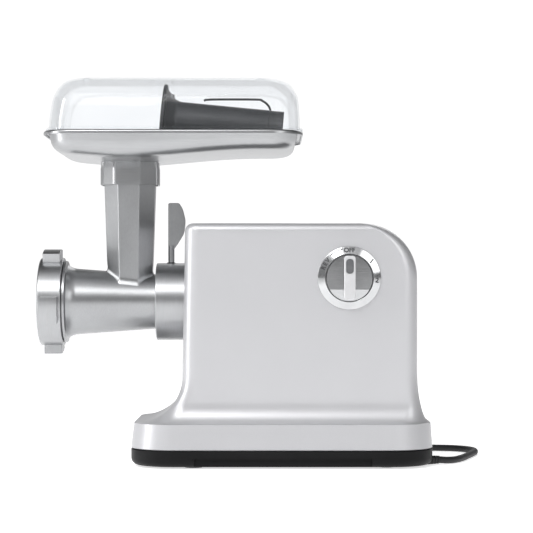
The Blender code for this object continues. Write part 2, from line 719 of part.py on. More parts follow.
def tray():
    rings = []
    flange = TRAY_RIM - SHEET
    for inset, z in ((-RIM_OVERHANG, flange - 0.0022), (-RIM_OVERHANG, flange), (0.0, flange)):
        rings.append([(x, y, z) for x, y in tray_outline(inset)])
    for inset, drop in ((0.0016, 0.35), (0.0040, 0.72), (0.0085, 0.93), (0.0150, 1.0)):
        ring = tray_outline(inset)
        rings.append([(x, y, flange + (tray_floor(x) - flange) * drop) for x, y in ring])
    edge = tray_outline(0.0150)
    mouth = octagon_ring(edge, SLEEVE_FLATS - 0.0015)
    for share in (0.40, 0.75, 1.0):
        ring = []
        for (x, y), (mouth_x, mouth_y) in zip(edge, mouth):
            px, py = x + (mouth_x - x) * share, y + (mouth_y - y) * share
            ring.append((px, py, tray_floor(px) - 0.0012 * share**6))
        rings.append(ring)
    for z in (SLEEVE_TOP, SLEEVE_LOW):
        rings.append([(x, y, z) for x, y in octagon_ring(edge, SLEEVE_FLATS)])
    skin = loft("tray", [list(reversed(ring)) for ring in rings], SHEET_STEEL, closed=False)
    return walled(skin, SHEET)


def lid():
    sections = (
        (-0.0030, 0.3084, 0.0),
        (-0.0030, 0.3106, 0.0),
        (-0.0004, 0.3106, 0.0),
        (0.0006, 0.3235, 0.0006),
        (0.0032, 0.3380, 0.0020),
        (0.0070, 0.3470, 0.0020),
        (0.0120, 0.3530, 0.0020),
        (0.0195, 0.3568, 0.0),
        (0.0300, 0.3582, 0.0),
        (0.0480, 0.3588, 0.0),
    )
    rings = []
    for inset, z, rear in sections:
        low = (TRAY_FRONT + inset, -TRAY_HALF + inset)
        high = (TRAY_REAR + 0.002 - inset + rear, TRAY_HALF - inset)
        corner = max(0.012, TRAY_CORNER + 0.002 - inset * 0.5)
        rings.append([(x, y, z) for x, y in rounded_rectangle(low, high, corner)])
    skin = loft("lid", rings, CLEAR, cap_first=False)
    skin = walled(skin, 0.0016)
    bumps = []
    for x in (-0.1380, 0.0250):
        profile = [(0.0, 0.3612), (0.0030, 0.3608), (0.0045, 0.3595), (0.0050, 0.3580), (0.0, 0.3580)]
        bumps.append(turned("bump", profile, CLEAR, "Z", (x, -0.020, 0), 16))
    return joined(skin, *bumps)


def horn(name, flange, tube_radius, end_radius, length, wall, front, side, start_z, end_z):
    """A sausage horn lying in the tray: a flange, a short funnel and a long tube, open right through."""
    funnel = 0.014
    outer = [(end_radius, length), (tube_radius, funnel), (flange * 0.86, 0.0040)]
    outer += [(flange, 0.0030), (flange, 0.0)]
    inner = [(flange * 0.86 - wall, 0.0), (flange * 0.80 - wall, 0.0035)]
    inner += [(tube_radius - wall, funnel + 0.001), (end_radius - wall, length)]
    item = turned(name, outer + inner, HORN, "Z", (0, 0, 0), 32, ring=True)
    start = Vector((front, side, start_z))
    item.data.transform(aimed(start, start + Vector((length, 0, end_z - start_z))))
    return item


def accessory_bail():
    """The bent retaining wire over the second horn."""
    route = [(x, BAIL_Y, z) for x, z in BAIL_ROUTE]
    return wire("accessory_bail", smooth_line(route, 0.008), 0.0011, HORN)


# ---------------------------------------------------------------- dial


def dial_bezel():
    profile = [
        (BEZEL_RADIUS, -0.0753),
        (BEZEL_RADIUS, -0.0775),
        (BEZEL_RADIUS - 0.0014, -0.0787),
        (0.0224, -0.0787),
        (0.0216, -0.0779),
        (0.0216, -0.0753),
    ]
    return turned("dial_bezel", profile, CHROME, "Y", (DIAL_X, 0, DIAL_Z), 44, ring=True)


def rotary_switch():
    profile = [
        (0.0, -0.0480),
        (0.0165, -0.0480),
        (0.0165, -0.0719),
        (0.0050, -0.0719),
        (0.0050, -0.0752),
        (0.0033, -0.0752),
        (0.0033, -0.0500),
        (0.0, -0.0500),
    ]
    return turned("rotary_switch", profile, GREY, "Y", (DIAL_X, 0, DIAL_Z), 32)


def on_dial(low, high, half_width, radius):
    """A rounded outline upright on the dial, between two heights from its centre."""
    corners = (DIAL_Z + low, DIAL_X - half_width), (DIAL_Z + high, DIAL_X + half_width)
    return rounded_rectangle(*corners, radius, 4)


def speed_knob():
    disc = [(0, -0.0520), (0.0030, -0.0520), (0.0030, -0.0756), (KNOB_RADIUS, -0.0756)]
    disc += [(KNOB_RADIUS, -0.0796), (KNOB_RADIUS - 0.0008, -0.0804), (0, -0.0804)]
    knob = turned("speed_knob", disc, GREY, "Y", (DIAL_X, 0, DIAL_Z), 48)
    bar = slab("bar", on_dial(-0.0200, 0.0200, 0.0052, 0.0030), -0.0890, -0.0790, GREY, "Y")
    knob = joined(knob, bar)
    pocket = on_dial(0.0035, 0.0172, 0.0036, 0.0030)
    return cut(knob, slab("pointer_pocket", pocket, -0.0950, -0.0880, GREY, "Y"))


def knob_pointer():
    return slab("knob_pointer", on_dial(0.0038, 0.0169, 0.0033, 0.0028), -0.0893, -0.0883, BLACK, "Y")


# ---------------------------------------------------------------- gearbox and motor


def gear_outline(teeth, module, shift, slack, tooth_at, centre_z, flank_steps=1):
    """An involute gear's outline in (y, z), with one tooth centred at the angle tooth_at."""
    pressure = math.radians(20)
    pitch = module * teeth / 2
    base = pitch * math.cos(pressure)
    tip = pitch + module * (0.8 + shift)
    root = pitch - module * (1.25 - shift)
    half = (math.pi / 2 + 2 * shift * math.tan(pressure)) / teeth - slack / 2 / pitch
    at_base = half + math.tan(pressure) - pressure

    def half_angle(radius):
        if radius <= base:
            return at_base
        roll = math.acos(base / radius)
        return at_base - (math.tan(roll) - roll)

    low = max(root, base)
    flank = [low + (tip - low) * k / flank_steps for k in range(flank_steps + 1)]
    if root < base:
        flank = [root, *flank]
    points = []
    for tooth in range(teeth):
        middle = tooth_at + TURN * tooth / teeth
        side = [(radius, middle - half_angle(radius)) for radius in flank]
        side += [(radius, middle + half_angle(radius)) for radius in reversed(flank)]
        points += [(r * math.cos(a), centre_z + r * math.sin(a)) for r, a in side]
    return points


UP, DOWN = math.pi / 2, -math.pi / 2
SLACK = 0.00022


def output_gear():
    tooth_at = DOWN + math.pi / OUTPUT_TEETH
    outline = gear_outline(OUTPUT_TEETH, MODULE_SLOW, -0.5, SLACK, tooth_at, AXIS_Z)
    wheel = slab("output_gear", outline, -0.0295, -0.0175, NYLON)
    return cut(wheel, cylinder("gear_bore", 0.0083, -0.05, 0.0, NYLON, steps=24))


def drive_shaft():
    profile = [
        (0.0, -0.0005),
        (0.0057, -0.0005),
        (0.0057, -0.0172),
        (0.0080, -0.0172),
        (0.0080, -0.0470),
        (0.0125, -0.0470),
        (0.0125, -0.0608),
        (0.0, -0.0608),
    ]
    shaft = turned("drive_shaft", profile, STEEL, steps=32)
    return cut(shaft, slab("hex_socket", circle(0.0079, (0, AXIS_Z), 6), -0.07, -0.0500, STEEL))


def lay_gear():
    """The large wheel and the small gear that turn together on the fixed axle."""
    middle = (0, 0, LAY_Z)
    outline = gear_outline(WHEEL_TEETH, MODULE_FAST, -0.5, SLACK, DOWN + math.pi / WHEEL_TEETH, LAY_Z)
    wheel = slab("lay_gear", outline, -0.0145, -0.0065, NYLON)
    outline = gear_outline(SMALL_TEETH, MODULE_SLOW, 0.5, SLACK, UP, LAY_Z, 2)
    wheel = joined(wheel, slab("small", outline, -0.0305, -0.0135, NYLON))
    return cut(wheel, cylinder("lay_bore", BEARING_BORE, -0.05, 0.01, NYLON, place=middle, steps=20))


def gearbox_plate(name, low, high):
    outline = rounded_rectangle((-0.046, 0.033), (0.046, 0.193), 0.010, 4)
    return slab(name, outline, low, high, CAST)


def gearbox_frame():
    plate = gearbox_plate("gearbox_frame", -0.0372, -0.0332)
    tools = (
        cylinder("bush_seat", 0.0113, -0.05, -0.02, CAST, steps=32),
        cylinder("axle_seat", SHAFT + GAP, -0.0355, -0.02, CAST, place=(0, 0, LAY_Z), steps=20),
    )
    return cut(plate, *tools)


def gearbox_cover():
    plate = gearbox_plate("gearbox_cover", -0.0030, 0.0010)
    posts = []
    for y in (-0.038, 0.038):
        for z in (0.042, 0.184):
            posts.append(cylinder("spacer", 0.0045, -0.0329, -0.0020, CAST, place=(0, y, z), steps=16))
    plate = joined(plate, *posts)
    tools = [
        cylinder("bearing_seat", 0.0075, -0.02, 0.02, CAST, place=(0, 0, MOTOR_Z), steps=24),
        cylinder("shaft_seat", 0.0060, -0.02, 0.02, CAST, steps=24),
        cylinder("axle_seat", SHAFT + GAP, -0.02, -0.0005, CAST, place=(0, 0, LAY_Z), steps=20),
    ]
    for y in (-BOLT_Y, BOLT_Y):
        place = (0, y, MOTOR_Z)
        tools.append(cylinder("bolt_hole", BOLT_RADIUS + GAP, -0.02, 0.02, CAST, place=place, steps=12))
    return cut(plate, *tools)


def motor_shaft():
    middle = (0, 0, MOTOR_Z)
    shaft = cylinder("motor_shaft", SHAFT, -0.0060, 0.1130, STEEL, place=middle, steps=20)
    pinion = gear_outline(PINION_TEETH, MODULE_FAST, 0.5, SLACK, UP, MOTOR_Z, 2)
    return joined(shaft, slab("pinion", pinion, -0.0155, -0.0050, STEEL))


def armature_core():
    """The slotted stack of laminations on the shaft."""
    middle = (0, 0, MOTOR_Z)
    stack = (STACK_FRONT, STACK_REAR)
    core = tube("armature_core", ARMATURE_RADIUS, BEARING_BORE, *stack, STEEL, place=middle, steps=36)
    slots = []
    for i in range(9):
        angle = TURN * (i / 9 + 1 / 72)
        reach = ARMATURE_RADIUS - 0.0002
        place = (0, reach * math.cos(angle), MOTOR_Z + reach * math.sin(angle))
        slots.append(cylinder("slot", 0.0011, 0.0, 0.08, STEEL, place=place, steps=8))
    return cut(core, *slots)


def stator():
    """The field stack with its bore and the window for its two coils, and the coils."""
    half_height, window = 0.036, 0.0147
    stack = rounded_rectangle((-0.040, MOTOR_Z - half_height), (0.040, MOTOR_Z + half_height), 0.010, 4)
    item = slab("motor_stator", stack, STACK_FRONT, STACK_REAR, STEEL)
    tools = (
        block("window", (0.0, -0.0312, MOTOR_Z - window), (0.08, 0.0312, MOTOR_Z + window), STEEL),
        cylinder("stator_bore", 0.0210, 0.0, 0.08, STEEL, place=(0, 0, MOTOR_Z), steps=36),
    )
    made = [cut(item, *tools)]
    loop = rounded_rectangle((STACK_FRONT - 0.0052, -0.0262), (STACK_REAR + 0.0052, 0.0262), 0.008, 3)
    for name, up in (("field_coil_upper", 0.0096), ("field_coil_lower", -0.0096)):
        points = [(x, y, MOTOR_Z + up) for x, y in loop]
        made.append(wire(name, points, 0.0044, COPPER, 2, closed=True))
    return made


def motor_mount():
    """The rear bracket, the two long bolts to the gearbox and the brush holders on the bracket."""
    outline = rounded_rectangle((-0.048, MOTOR_Z - 0.020), (0.048, MOTOR_Z + 0.020), 0.008, 4)
    bracket = slab("motor_bracket", outline, BRACKET_FRONT, BRACKET_REAR, CAST)
    tools = [cylinder("bracket_bore", 0.0098, 0.08, 0.1, CAST, place=(0, 0, MOTOR_Z), steps=24)]
    made = []
    for i, side in enumerate((-1, 1), 1):
        place = (0, side * BOLT_Y, MOTOR_Z)
        tools.append(cylinder("bolt_way", BOLT_RADIUS + GAP, 0.08, 0.1, CAST, place=place, steps=12))
        rear = BRACKET_REAR + 0.0020
        bolt = cylinder(f"motor_bolt_{i}", BOLT_RADIUS, -0.0030, rear, STEEL, place=place, steps=12)
        made.append(bolt)
        low, high = sorted((side * 0.0130, side * 0.0310))
        corners = (0.0745, low, MOTOR_Z - 0.0038), (BRACKET_FRONT - 0.0004, high, MOTOR_Z + 0.0038)
        made.append(block(f"brush_holder_{i}", *corners, BRASS))
    return [cut(bracket, *tools), *made]


def motor_bearings():
    middle = (0, 0, MOTOR_Z)
    return [
        tube("front_bearing", 0.0072, BEARING_BORE, -0.0030, 0.0010, BRASS, place=middle, steps=24),
        tube("rear_bearing", 0.0095, BEARING_BORE, 0.0900, 0.0940, BRASS, place=middle, steps=24),
        tube("output_bush", 0.0110, 0.0083, -0.0372, -0.0332, BRASS, steps=32),
        cylinder("lay_axle", SHAFT, -0.0352, -0.0008, STEEL, place=(0, 0, LAY_Z), steps=20),
    ]


def commutator():
    middle = (0, 0, MOTOR_Z)
    return tube("commutator", 0.0125, BEARING_BORE, 0.0710, 0.0850, COPPER, place=middle, steps=30)


def motor_fan():
    middle = (0, 0, MOTOR_Z)
    disc = tube("motor_fan", 0.0300, BEARING_BORE, 0.1050, 0.1070, GREY, place=middle, steps=32)
    blades = []
    for i in range(8):
        blade = block(f"blade_{i}", (0.0985, 0.0110, -0.0008), (0.1056, 0.0290, 0.0008), GREY)
        blade.data.transform(Matrix.Translation(middle) @ Matrix.Rotation(TURN * i / 8, 4, "X"))
        blades.append(blade)
    return joined(disc, *blades)


def mains_filter():
    return block("mains_filter", (0.120, -0.030, 0.060), (0.142, 0.004, 0.082), GREY, 0.0015, 2)


# ---------------------------------------------------------------- mains lead


def strain_relief():
    length = (RELIEF_END - RELIEF_START).length
    item = cylinder("strain_relief", 0.0043, 0, length, RUBBER, "Z", (0, 0, 0), 20, tip=0.0037)
    item.data.transform(aimed(RELIEF_START, RELIEF_END))
    return item


def cord():
    made = [wire("cord_run", smooth_line(CORD_ROUTE, 0.0150), CORD_RADIUS, RUBBER, 2)]
    made.append(wire("cord_tail", smooth_line(TAIL_ROUTE, 0.0100), CORD_RADIUS, RUBBER, 2))
    outer, inner, low, high = COIL_MEAN + COIL_TUBE, COIL_MEAN - COIL_TUBE, 0.0001, 0.0136
    edge = 0.003
    profile = [
        (outer - edge, high),
        (outer, high - edge),
        (outer, low + edge),
        (outer - edge, low),
        (inner + edge, low),
        (inner, low + edge),
        (inner, high - edge),
        (inner + edge, high),
    ]
    made.append(turned("cord_coil", profile, RUBBER, "Z", (*COIL_CENTRE, 0), 30, ring=True))
    return made


def plug():
    size = Vector(PLUG_SIZE) / 2
    body = block("plug_body", PLUG_AT - size, PLUG_AT + size, RUBBER, 0.008, 3)
    end = Vector(TAIL_ROUTE[-1])
    place = (end.x - 0.0240, PLUG_AT.y - 0.0008, end.z)
    neck = cylinder("neck", 0.0060, 0.0, 0.0230, RUBBER, "X", place, 16, tip=0.0042)
    made = [joined(body, neck)]
    for i, side in enumerate((-0.0095, 0.0095), 1):
        root = PLUG_AT.x - size.x - GAP
        place = (0, PLUG_AT.y + side, PLUG_AT.z)
        made.append(cylinder(f"plug_pin_{i}", 0.0024, root - 0.0190, root, BRASS, place=place, steps=16))
    return made


# ---------------------------------------------------------------- assembly


def pivot(name, place, items):
    """Hangs a moving body's pieces on an empty that sits on its joint axis."""
    empty = bpy.data.objects.new(name, None)
    PARTS.objects.link(empty)
    empty.location = place
    empty.empty_display_size = 0.02
    bpy.context.view_layer.update()
    for item in items:
        item.parent = empty
        item.matrix_parent_inverse = empty.matrix_world.inverted()


def build():
    housing()
    base_pan()
    feet_and_screws()
    hub_socket()
    lever_bush()
    gearbox_frame()
    gearbox_cover()
    dial_bezel()
    rotary_switch()
    mains_filter()
    strain_relief()
    cord()
    plug()
    motor_bearings()
    stator()
    motor_mount()
    pivot("armature_axis", (0, 0, MOTOR_Z), [motor_shaft(), armature_core(), commutator(), motor_fan()])
    pivot("lay_axis", (0, 0, LAY_Z), [lay_gear()])
    pivot("drive_axis", (0, 0, AXIS_Z), [output_gear(), drive_shaft()])
    pivot("lever_axis", (LEVER_X, 0, 0.19), [lock_lever()])
    pivot("dial_axis", (DIAL_X, -HOUSING_HALF, DIAL_Z), [speed_knob(), knob_pointer()])
    pivot("head_slide", (BARREL_REAR, 0, AXIS_Z), [grinder_head()])
    pivot("auger_axis", (BARREL_REAR, 0, AXIS_Z), [auger(), auger_washer(), knife()])
    pivot("plate_slide", (PLATE_BACK, 0, AXIS_Z), [cutting_plate()])
    pivot("nut_axis", (NUT_FRONT, 0, AXIS_Z), [ring_nut()])
    horns = [
        horn("sausage_horn", 0.0330, 0.0180, 0.0168, 0.113, 0.0016, -0.0670, -0.0300, 0.3210, 0.3115),
        horn("small_horn", 0.0320, 0.0232, 0.0205, 0.080, 0.0016, -0.0630, 0.0360, 0.3200, 0.3170),
    ]
    pivot("tray_lift", (THROAT_X, 0, SLEEVE_LOW), [tray(), accessory_bail(), *horns])
    pivot("lid_lift", (THROAT_X, 0, TRAY_RIM), [lid()])


def shade():
    for item in PARTS.objects:
        if item.type == "MESH":
            item.data.shade_smooth()
            item.data.set_sharp_from_angle(angle=SMOOTH_BELOW)


build()
shade()
for tool in list(CUTTERS.objects):
    tool.hide_render = True
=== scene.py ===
"""Looks for the electric meat grinder: detailed pieces, finishes, cord, light and camera.

Metres, +Z up. The grinding head points to -X, the dial faces -Y and the cord leaves at +X.
"""

import math

import bmesh
import bpy
from mathutils import Matrix, Vector


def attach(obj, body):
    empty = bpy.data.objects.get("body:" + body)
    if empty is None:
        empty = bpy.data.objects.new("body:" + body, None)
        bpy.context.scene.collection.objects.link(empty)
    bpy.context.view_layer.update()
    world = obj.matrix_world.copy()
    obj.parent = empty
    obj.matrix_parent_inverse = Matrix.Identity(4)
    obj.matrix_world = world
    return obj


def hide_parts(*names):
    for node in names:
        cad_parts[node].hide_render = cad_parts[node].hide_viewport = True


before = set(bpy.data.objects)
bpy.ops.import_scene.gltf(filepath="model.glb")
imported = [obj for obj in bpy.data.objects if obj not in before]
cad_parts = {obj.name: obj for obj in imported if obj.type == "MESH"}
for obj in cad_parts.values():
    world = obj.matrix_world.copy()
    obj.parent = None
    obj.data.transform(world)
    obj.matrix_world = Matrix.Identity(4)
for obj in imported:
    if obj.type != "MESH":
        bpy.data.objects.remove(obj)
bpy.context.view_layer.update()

TURN = 2 * math.pi
SMOOTH_BELOW, KNOB_SMOOTH_BELOW = math.radians(28), math.radians(4)
WELD = 1e-6

# The machine's measures, as in the CAD part
AXIS_Z = 0.151
THROAT_X = -0.0987
HOUSING_FRONT, HOUSING_REAR, HOUSING_HALF, HOUSING_TOP = -0.044, 0.1685, 0.075, 0.223
HOUSING_CORNER, FRONT_LEAN, REAR_TOP_RADIUS, TOP_EDGE = 0.013, 0.0040, 0.050, 0.007
SKIRT_FRONT, SKIRT_REAR, SKIRT_HALF, SKIRT_TOP, SKIRT_CORNER = -0.0917, 0.182, 0.088, 0.040, 0.039
BASE_FRONT, BASE_REAR, BASE_HALF, BASE_TOP, BASE_CORNER = -0.0943, 0.1835, 0.0895, 0.017, 0.040
BASE_BOTTOM = 0.0015
FLARE_FRONT_TOP, FLARE_REAR_TOP, FLARE_SIDE_TOP = 0.082, 0.090, 0.060
SHELL_WALL, PAN_EDGE, GAP = 0.0025, 0.0065, 0.0003
POST_PLACES = ((-0.062, -0.055), (-0.062, 0.055), (0.1745, -0.012), (0.1745, 0.012))
FOOT_PLACES = ((-0.036, -0.066), (-0.036, 0.066), (0.140, -0.062), (0.140, 0.062))
SOCKET_FRONT, SOCKET_REAR, SOCKET_RADIUS, SOCKET_BORE = -0.0735, -0.0420, 0.0365, 0.0264
LEVER_X, LEVER_HALF = -0.0599, 0.0017
BARREL_FRONT, THREAD_END, BARREL_REAR = -0.1765, -0.1565, -0.0485
BARREL_FRONT_RADIUS, BARREL_REAR_RADIUS, THREAD_RADIUS = 0.0317, 0.0260, 0.0370
PLATE_FRONT, PLATE_BACK, PLATE_RADIUS = -0.1772, -0.1722, 0.0310
NUT_FRONT, NUT_BACK, NUT_RADIUS, LUG_RADIUS = -0.1835, -0.1612, 0.0415, 0.0495
LUG_START, LUG_HALF = math.radians(100), math.radians(15)
THROAT_TOP, THROAT_TOP_FLATS, THROAT_LOW, THROAT_LOW_FLATS = 0.2770, 0.0490, 0.168, 0.0418
TRAY_FRONT, TRAY_REAR, TRAY_HALF, TRAY_CORNER, TRAY_RIM = -0.1700, 0.0590, 0.0765, 0.026, 0.3080
RIM_OVERHANG, SHEET, LID_WALL = 0.0038, 0.0012, 0.0016
SLEEVE_FLATS, SLEEVE_LOW, SLEEVE_TOP = 0.0550, 0.2611, 0.2798
DIAL_X, DIAL_Z, BEZEL_RADIUS, KNOB_RADIUS = 0.1058, 0.1729, 0.0288, 0.0210
CORD_RADIUS = 0.0032
CORD_LIE = CORD_RADIUS + 0.0001
RELIEF_START, RELIEF_END = Vector((0.1715, -0.0476, 0.0045)), Vector((0.1905, -0.0395, 0.0045))
COIL_CENTRE, COIL_MEAN, COIL_LAPS = Vector((0.085, 0.156)), 0.0375, 4
PLUG_AT, PLUG_SIZE = Vector((-0.0240, 0.1145, 0.0137)), Vector((0.040, 0.035, 0.0265))

CAMERA_PLACE, CAMERA_LENS, CAMERA_SHIFT = (0.0305, -1.75, 0.162), 124.4, 0.044
FLOOR_SIZE, FLOOR_DROP, FLOOR_GLOW = 120, 0.0002, 0.66

CORD_ROUTE = (
    (0.1909, -0.0393, 0.0044),
    (0.1975, -0.0357, 0.0037),
    (0.2040, -0.0297, CORD_LIE),
    (0.2095, -0.0217, CORD_LIE),
    (0.2140, -0.0120, CORD_LIE),
    (0.2185, 0.0005, CORD_LIE),
    (0.2230, 0.0150, CORD_LIE),
    (0.2275, 0.0300, CORD_LIE),
    (0.2320, 0.0450, CORD_LIE),
    (0.2352, 0.0600, CORD_LIE),
    (0.2345, 0.0755, CORD_LIE),
    (0.2280, 0.0890, CORD_LIE),
    (0.2160, 0.0985, CORD_LIE),
    (0.2005, 0.1030, CORD_LIE),
    (0.1800, 0.1042, CORD_LIE),
    (0.1550, 0.1052, CORD_LIE),
    (0.1300, 0.1078, CORD_LIE),
    (0.1060, 0.1118, CORD_LIE),
)
TAIL_ROUTE = (
    (0.0680, 0.1082, 0.0095),
    (0.0560, 0.1082, 0.0086),
    (0.0430, 0.1090, 0.0082),
    (0.0290, 0.1112, 0.0103),
    (0.0163, 0.1130, 0.0135),
)


# ---------------- finishes


def new_material(name):
    material = bpy.data.materials.new(name)
    material.use_nodes = True
    return material


def node(material, kind, inputs=None, **settings):
    """A shader node; each input is a plain value or another node's output."""
    tree = material.node_tree
    made = tree.nodes.new(kind)
    for name, value in settings.items():
        setattr(made, name, value)
    for name, value in (inputs or {}).items():
        if isinstance(value, bpy.types.NodeSocket):
            tree.links.new(value, made.inputs[name])
        else:
            made.inputs[name].default_value = value
    return made


def result(material, kind, inputs=None, **settings):
    return node(material, kind, inputs, **settings).outputs[0]


def grain(material, scale, stretch=(1, 1, 1), detail=4.0):
    """Noise fixed to the piece, drawn out along an axis by a small stretch value."""
    place = node(material, "ShaderNodeTexCoord").outputs["Object"]
    moved = result(material, "ShaderNodeMapping", {"Vector": place, "Scale": stretch})
    inputs = {"Vector": moved, "Scale": scale, "Detail": detail, "Roughness": 0.6}
    return result(material, "ShaderNodeTexNoise", inputs)


def between(material, noise, low, high):
    """The middle of a noise's range spread over low to high."""
    inputs = {"Value": noise, "From Min": 0.30, "From Max": 0.70, "To Min": low, "To Max": high}
    return result(material, "ShaderNodeMapRange", inputs)


def mixed(material, first, second, share):
    """The given share of the first value with the rest of the second."""
    rest = result(material, "ShaderNodeMath", {0: second, 1: 1 - share}, operation="MULTIPLY")
    inputs = {0: first, 1: share, 2: rest}
    return result(material, "ShaderNodeMath", inputs, operation="MULTIPLY_ADD")


def coloured(material, noise, dark, light):
    ramp = node(material, "ShaderNodeValToRGB", {"Fac": noise})
    ramp.color_ramp.elements[0].position = 0.34
    ramp.color_ramp.elements[1].position = 0.66
    ramp.color_ramp.elements[0].color = (*dark, 1)
    ramp.color_ramp.elements[1].color = (*light, 1)
    return ramp.outputs["Color"]


def finish(
    name,
    dark,
    light,
    roughness,
    metallic=0.0,
    fine=900,
    stretch=(1, 1, 1),
    wide=22,
    share=0.5,
    bump=0.25,
    depth=0.00004,
    coat=0.0,
    shine=0.5,
):
    """A finish whose colour and roughness vary in a fine grain and in wide patches, with a fine relief."""
    material = new_material(name)
    shader = material.node_tree.nodes["Principled BSDF"]
    small = grain(material, fine, stretch, 5.0)
    both = mixed(material, small, grain(material, wide, detail=3.0), share)
    links = material.node_tree.links
    links.new(coloured(material, both, dark, light), shader.inputs["Base Color"])
    links.new(between(material, both, *roughness), shader.inputs["Roughness"])
    inputs = {"Strength": bump, "Distance": depth, "Height": small}
    links.new(result(material, "ShaderNodeBump", inputs), shader.inputs["Normal"])
    shader.inputs["Metallic"].default_value = metallic
    shader.inputs["Coat Weight"].default_value = coat
    shader.inputs["Coat Roughness"].default_value = 0.12
    shader.inputs["Specular IOR Level"].default_value = shine
    return material


def clear_finish(name):
    """Thin clear plastic: mostly see-through, with a sharp reflection and a trace of haze."""
    material = new_material(name)
    tree = material.node_tree
    tree.nodes.remove(tree.nodes["Principled BSDF"])
    smears = grain(material, 30, (0.35, 1, 1), 6.0)
    waves = {"Strength": 0.10, "Distance": 0.0004, "Height": grain(material, 9, detail=2.0)}
    relief = result(material, "ShaderNodeBump", waves)
    tint = coloured(material, smears, (0.972, 0.978, 0.985), (0.985, 0.99, 0.995))
    through = result(material, "ShaderNodeBsdfTransparent", {"Color": tint})
    shine = {"Roughness": between(material, smears, 0.02, 0.10), "Normal": relief}
    gloss = result(material, "ShaderNodeBsdfAnisotropic", shine)
    haze = result(material, "ShaderNodeBsdfDiffuse", {"Color": (0.95, 0.97, 0.99, 1)})
    edge = node(material, "ShaderNodeLayerWeight", {"Blend": 0.42, "Normal": relief}).outputs["Facing"]
    milky = result(material, "ShaderNodeMath", {0: edge, 1: 2.6}, operation="POWER")
    spread = {"Value": milky, "To Min": 0.012, "To Max": 0.11}
    amount = result(material, "ShaderNodeMapRange", spread)
    body = result(material, "ShaderNodeMixShader", {0: amount, 1: through, 2: haze})
    fresnel = result(material, "ShaderNodeFresnel", {"IOR": 1.45, "Normal": relief})
    mirror = result(material, "ShaderNodeMath", {0: fresnel, 1: 0.18}, operation="MULTIPLY")
    whole = result(material, "ShaderNodeMixShader", {0: mirror, 1: body, 2: gloss})
    output = tree.nodes["Material Output"]
    tree.links.new(whole, output.inputs["Surface"])
    return material


SHELL = finish(
    "silver_shell", (0.500, 0.501, 0.516), (0.553, 0.554, 0.567), (0.33, 0.43), 0.55,
    fine=2600, wide=9, share=0.75, bump=0.10, depth=0.00002, coat=0.08,
)
BASE = finish(
    "black_base", (0.0030, 0.0030, 0.0034), (0.0070, 0.0070, 0.0076), (0.42, 0.56),
    fine=1500, wide=30, bump=0.30, shine=0.15,
)
CAST = finish(
    "cast_aluminium", (0.325, 0.33, 0.337), (0.385, 0.39, 0.398), (0.285, 0.35), 1.0,
    fine=1300, stretch=(1, 1, 0.25), wide=26, share=0.5, bump=0.06, depth=0.00002,
)
TURNED = finish(
    "turned_aluminium", (0.350, 0.355, 0.362), (0.410, 0.415, 0.423), (0.285, 0.34), 1.0,
    fine=1500, stretch=(1, 0.06, 0.06), wide=26, share=0.5, bump=0.06, depth=0.00002,
)
TRAY = finish(
    "tray_steel", (0.350, 0.355, 0.362), (0.410, 0.415, 0.422), (0.285, 0.34), 1.0,
    fine=1500, stretch=(0.03, 1, 1), wide=12, share=0.5, bump=0.05, depth=0.00002,
)
STEEL = finish(
    "machined_steel", (0.34, 0.345, 0.352), (0.50, 0.505, 0.512), (0.19, 0.265), 1.0,
    fine=1200, wide=40, bump=0.12,
)
RING = finish(
    "dial_ring", (0.50, 0.505, 0.512), (0.58, 0.585, 0.592), (0.09, 0.16), 1.0,
    fine=2400, wide=60, share=0.4, bump=0.04, depth=0.00002,
)
KNOB = finish(
    "brushed_silver", (0.40, 0.405, 0.412), (0.52, 0.525, 0.532), (0.10, 0.19), 1.0,
    fine=2200, stretch=(0.04, 1, 1), wide=40, share=0.7, bump=0.06, depth=0.00002,
)
GRIP = finish(
    "grip_silver", (0.56, 0.56, 0.57), (0.64, 0.64, 0.65), (0.26, 0.38), 0.35,
    fine=2200, wide=60, bump=0.08,
)
HORN = finish(
    "dark_plastic", (0.022, 0.023, 0.025), (0.036, 0.037, 0.040), (0.34, 0.50),
    fine=1300, wide=34, bump=0.16,
)
RUBBER = finish(
    "rubber", (0.006, 0.006, 0.007), (0.014, 0.014, 0.015), (0.48, 0.68),
    fine=1700, wide=60, bump=0.30,
)
# Dark print for the dial's marks, also used on the knob's rim as painted shade: a dark ring that stands for
# the shadow in the gap between knob and bezel.
INK_AND_GAP_SHADE = finish(
    "dark_print_and_gap_shade", (0.010, 0.010, 0.012), (0.025, 0.025, 0.028), (0.40, 0.55),
    fine=2400, wide=200, bump=0.08,
)
POINTER = finish(
    "grey_pointer", (0.085, 0.087, 0.092), (0.12, 0.122, 0.127), (0.35, 0.50),
    fine=2000, wide=120, bump=0.12,
)
BRASS = finish(
    "brass", (0.50, 0.35, 0.12), (0.74, 0.56, 0.26), (0.20, 0.38), 1.0,
    fine=900, wide=60, bump=0.12,
)
COPPER = finish(
    "copper_winding", (0.40, 0.13, 0.05), (0.66, 0.27, 0.12), (0.28, 0.45), 0.9,
    fine=1600, stretch=(0.05, 1, 1), wide=80, bump=0.4, depth=0.0001,
)
NYLON = finish(
    "nylon", (0.66, 0.65, 0.59), (0.80, 0.79, 0.74), (0.38, 0.55),
    fine=700, wide=50, bump=0.14,
)
GREY = finish(
    "grey_plastic", (0.20, 0.20, 0.21), (0.30, 0.30, 0.31), (0.38, 0.55),
    fine=1100, wide=45, bump=0.18,
)
CLEAR = clear_finish("clear_plastic")


# ---------------- making shapes


def added(name, mesh, material):
    item = bpy.data.objects.new(name, mesh)
    bpy.context.scene.collection.objects.link(item)
    item.data.materials.clear()
    item.data.materials.append(material)
    return item


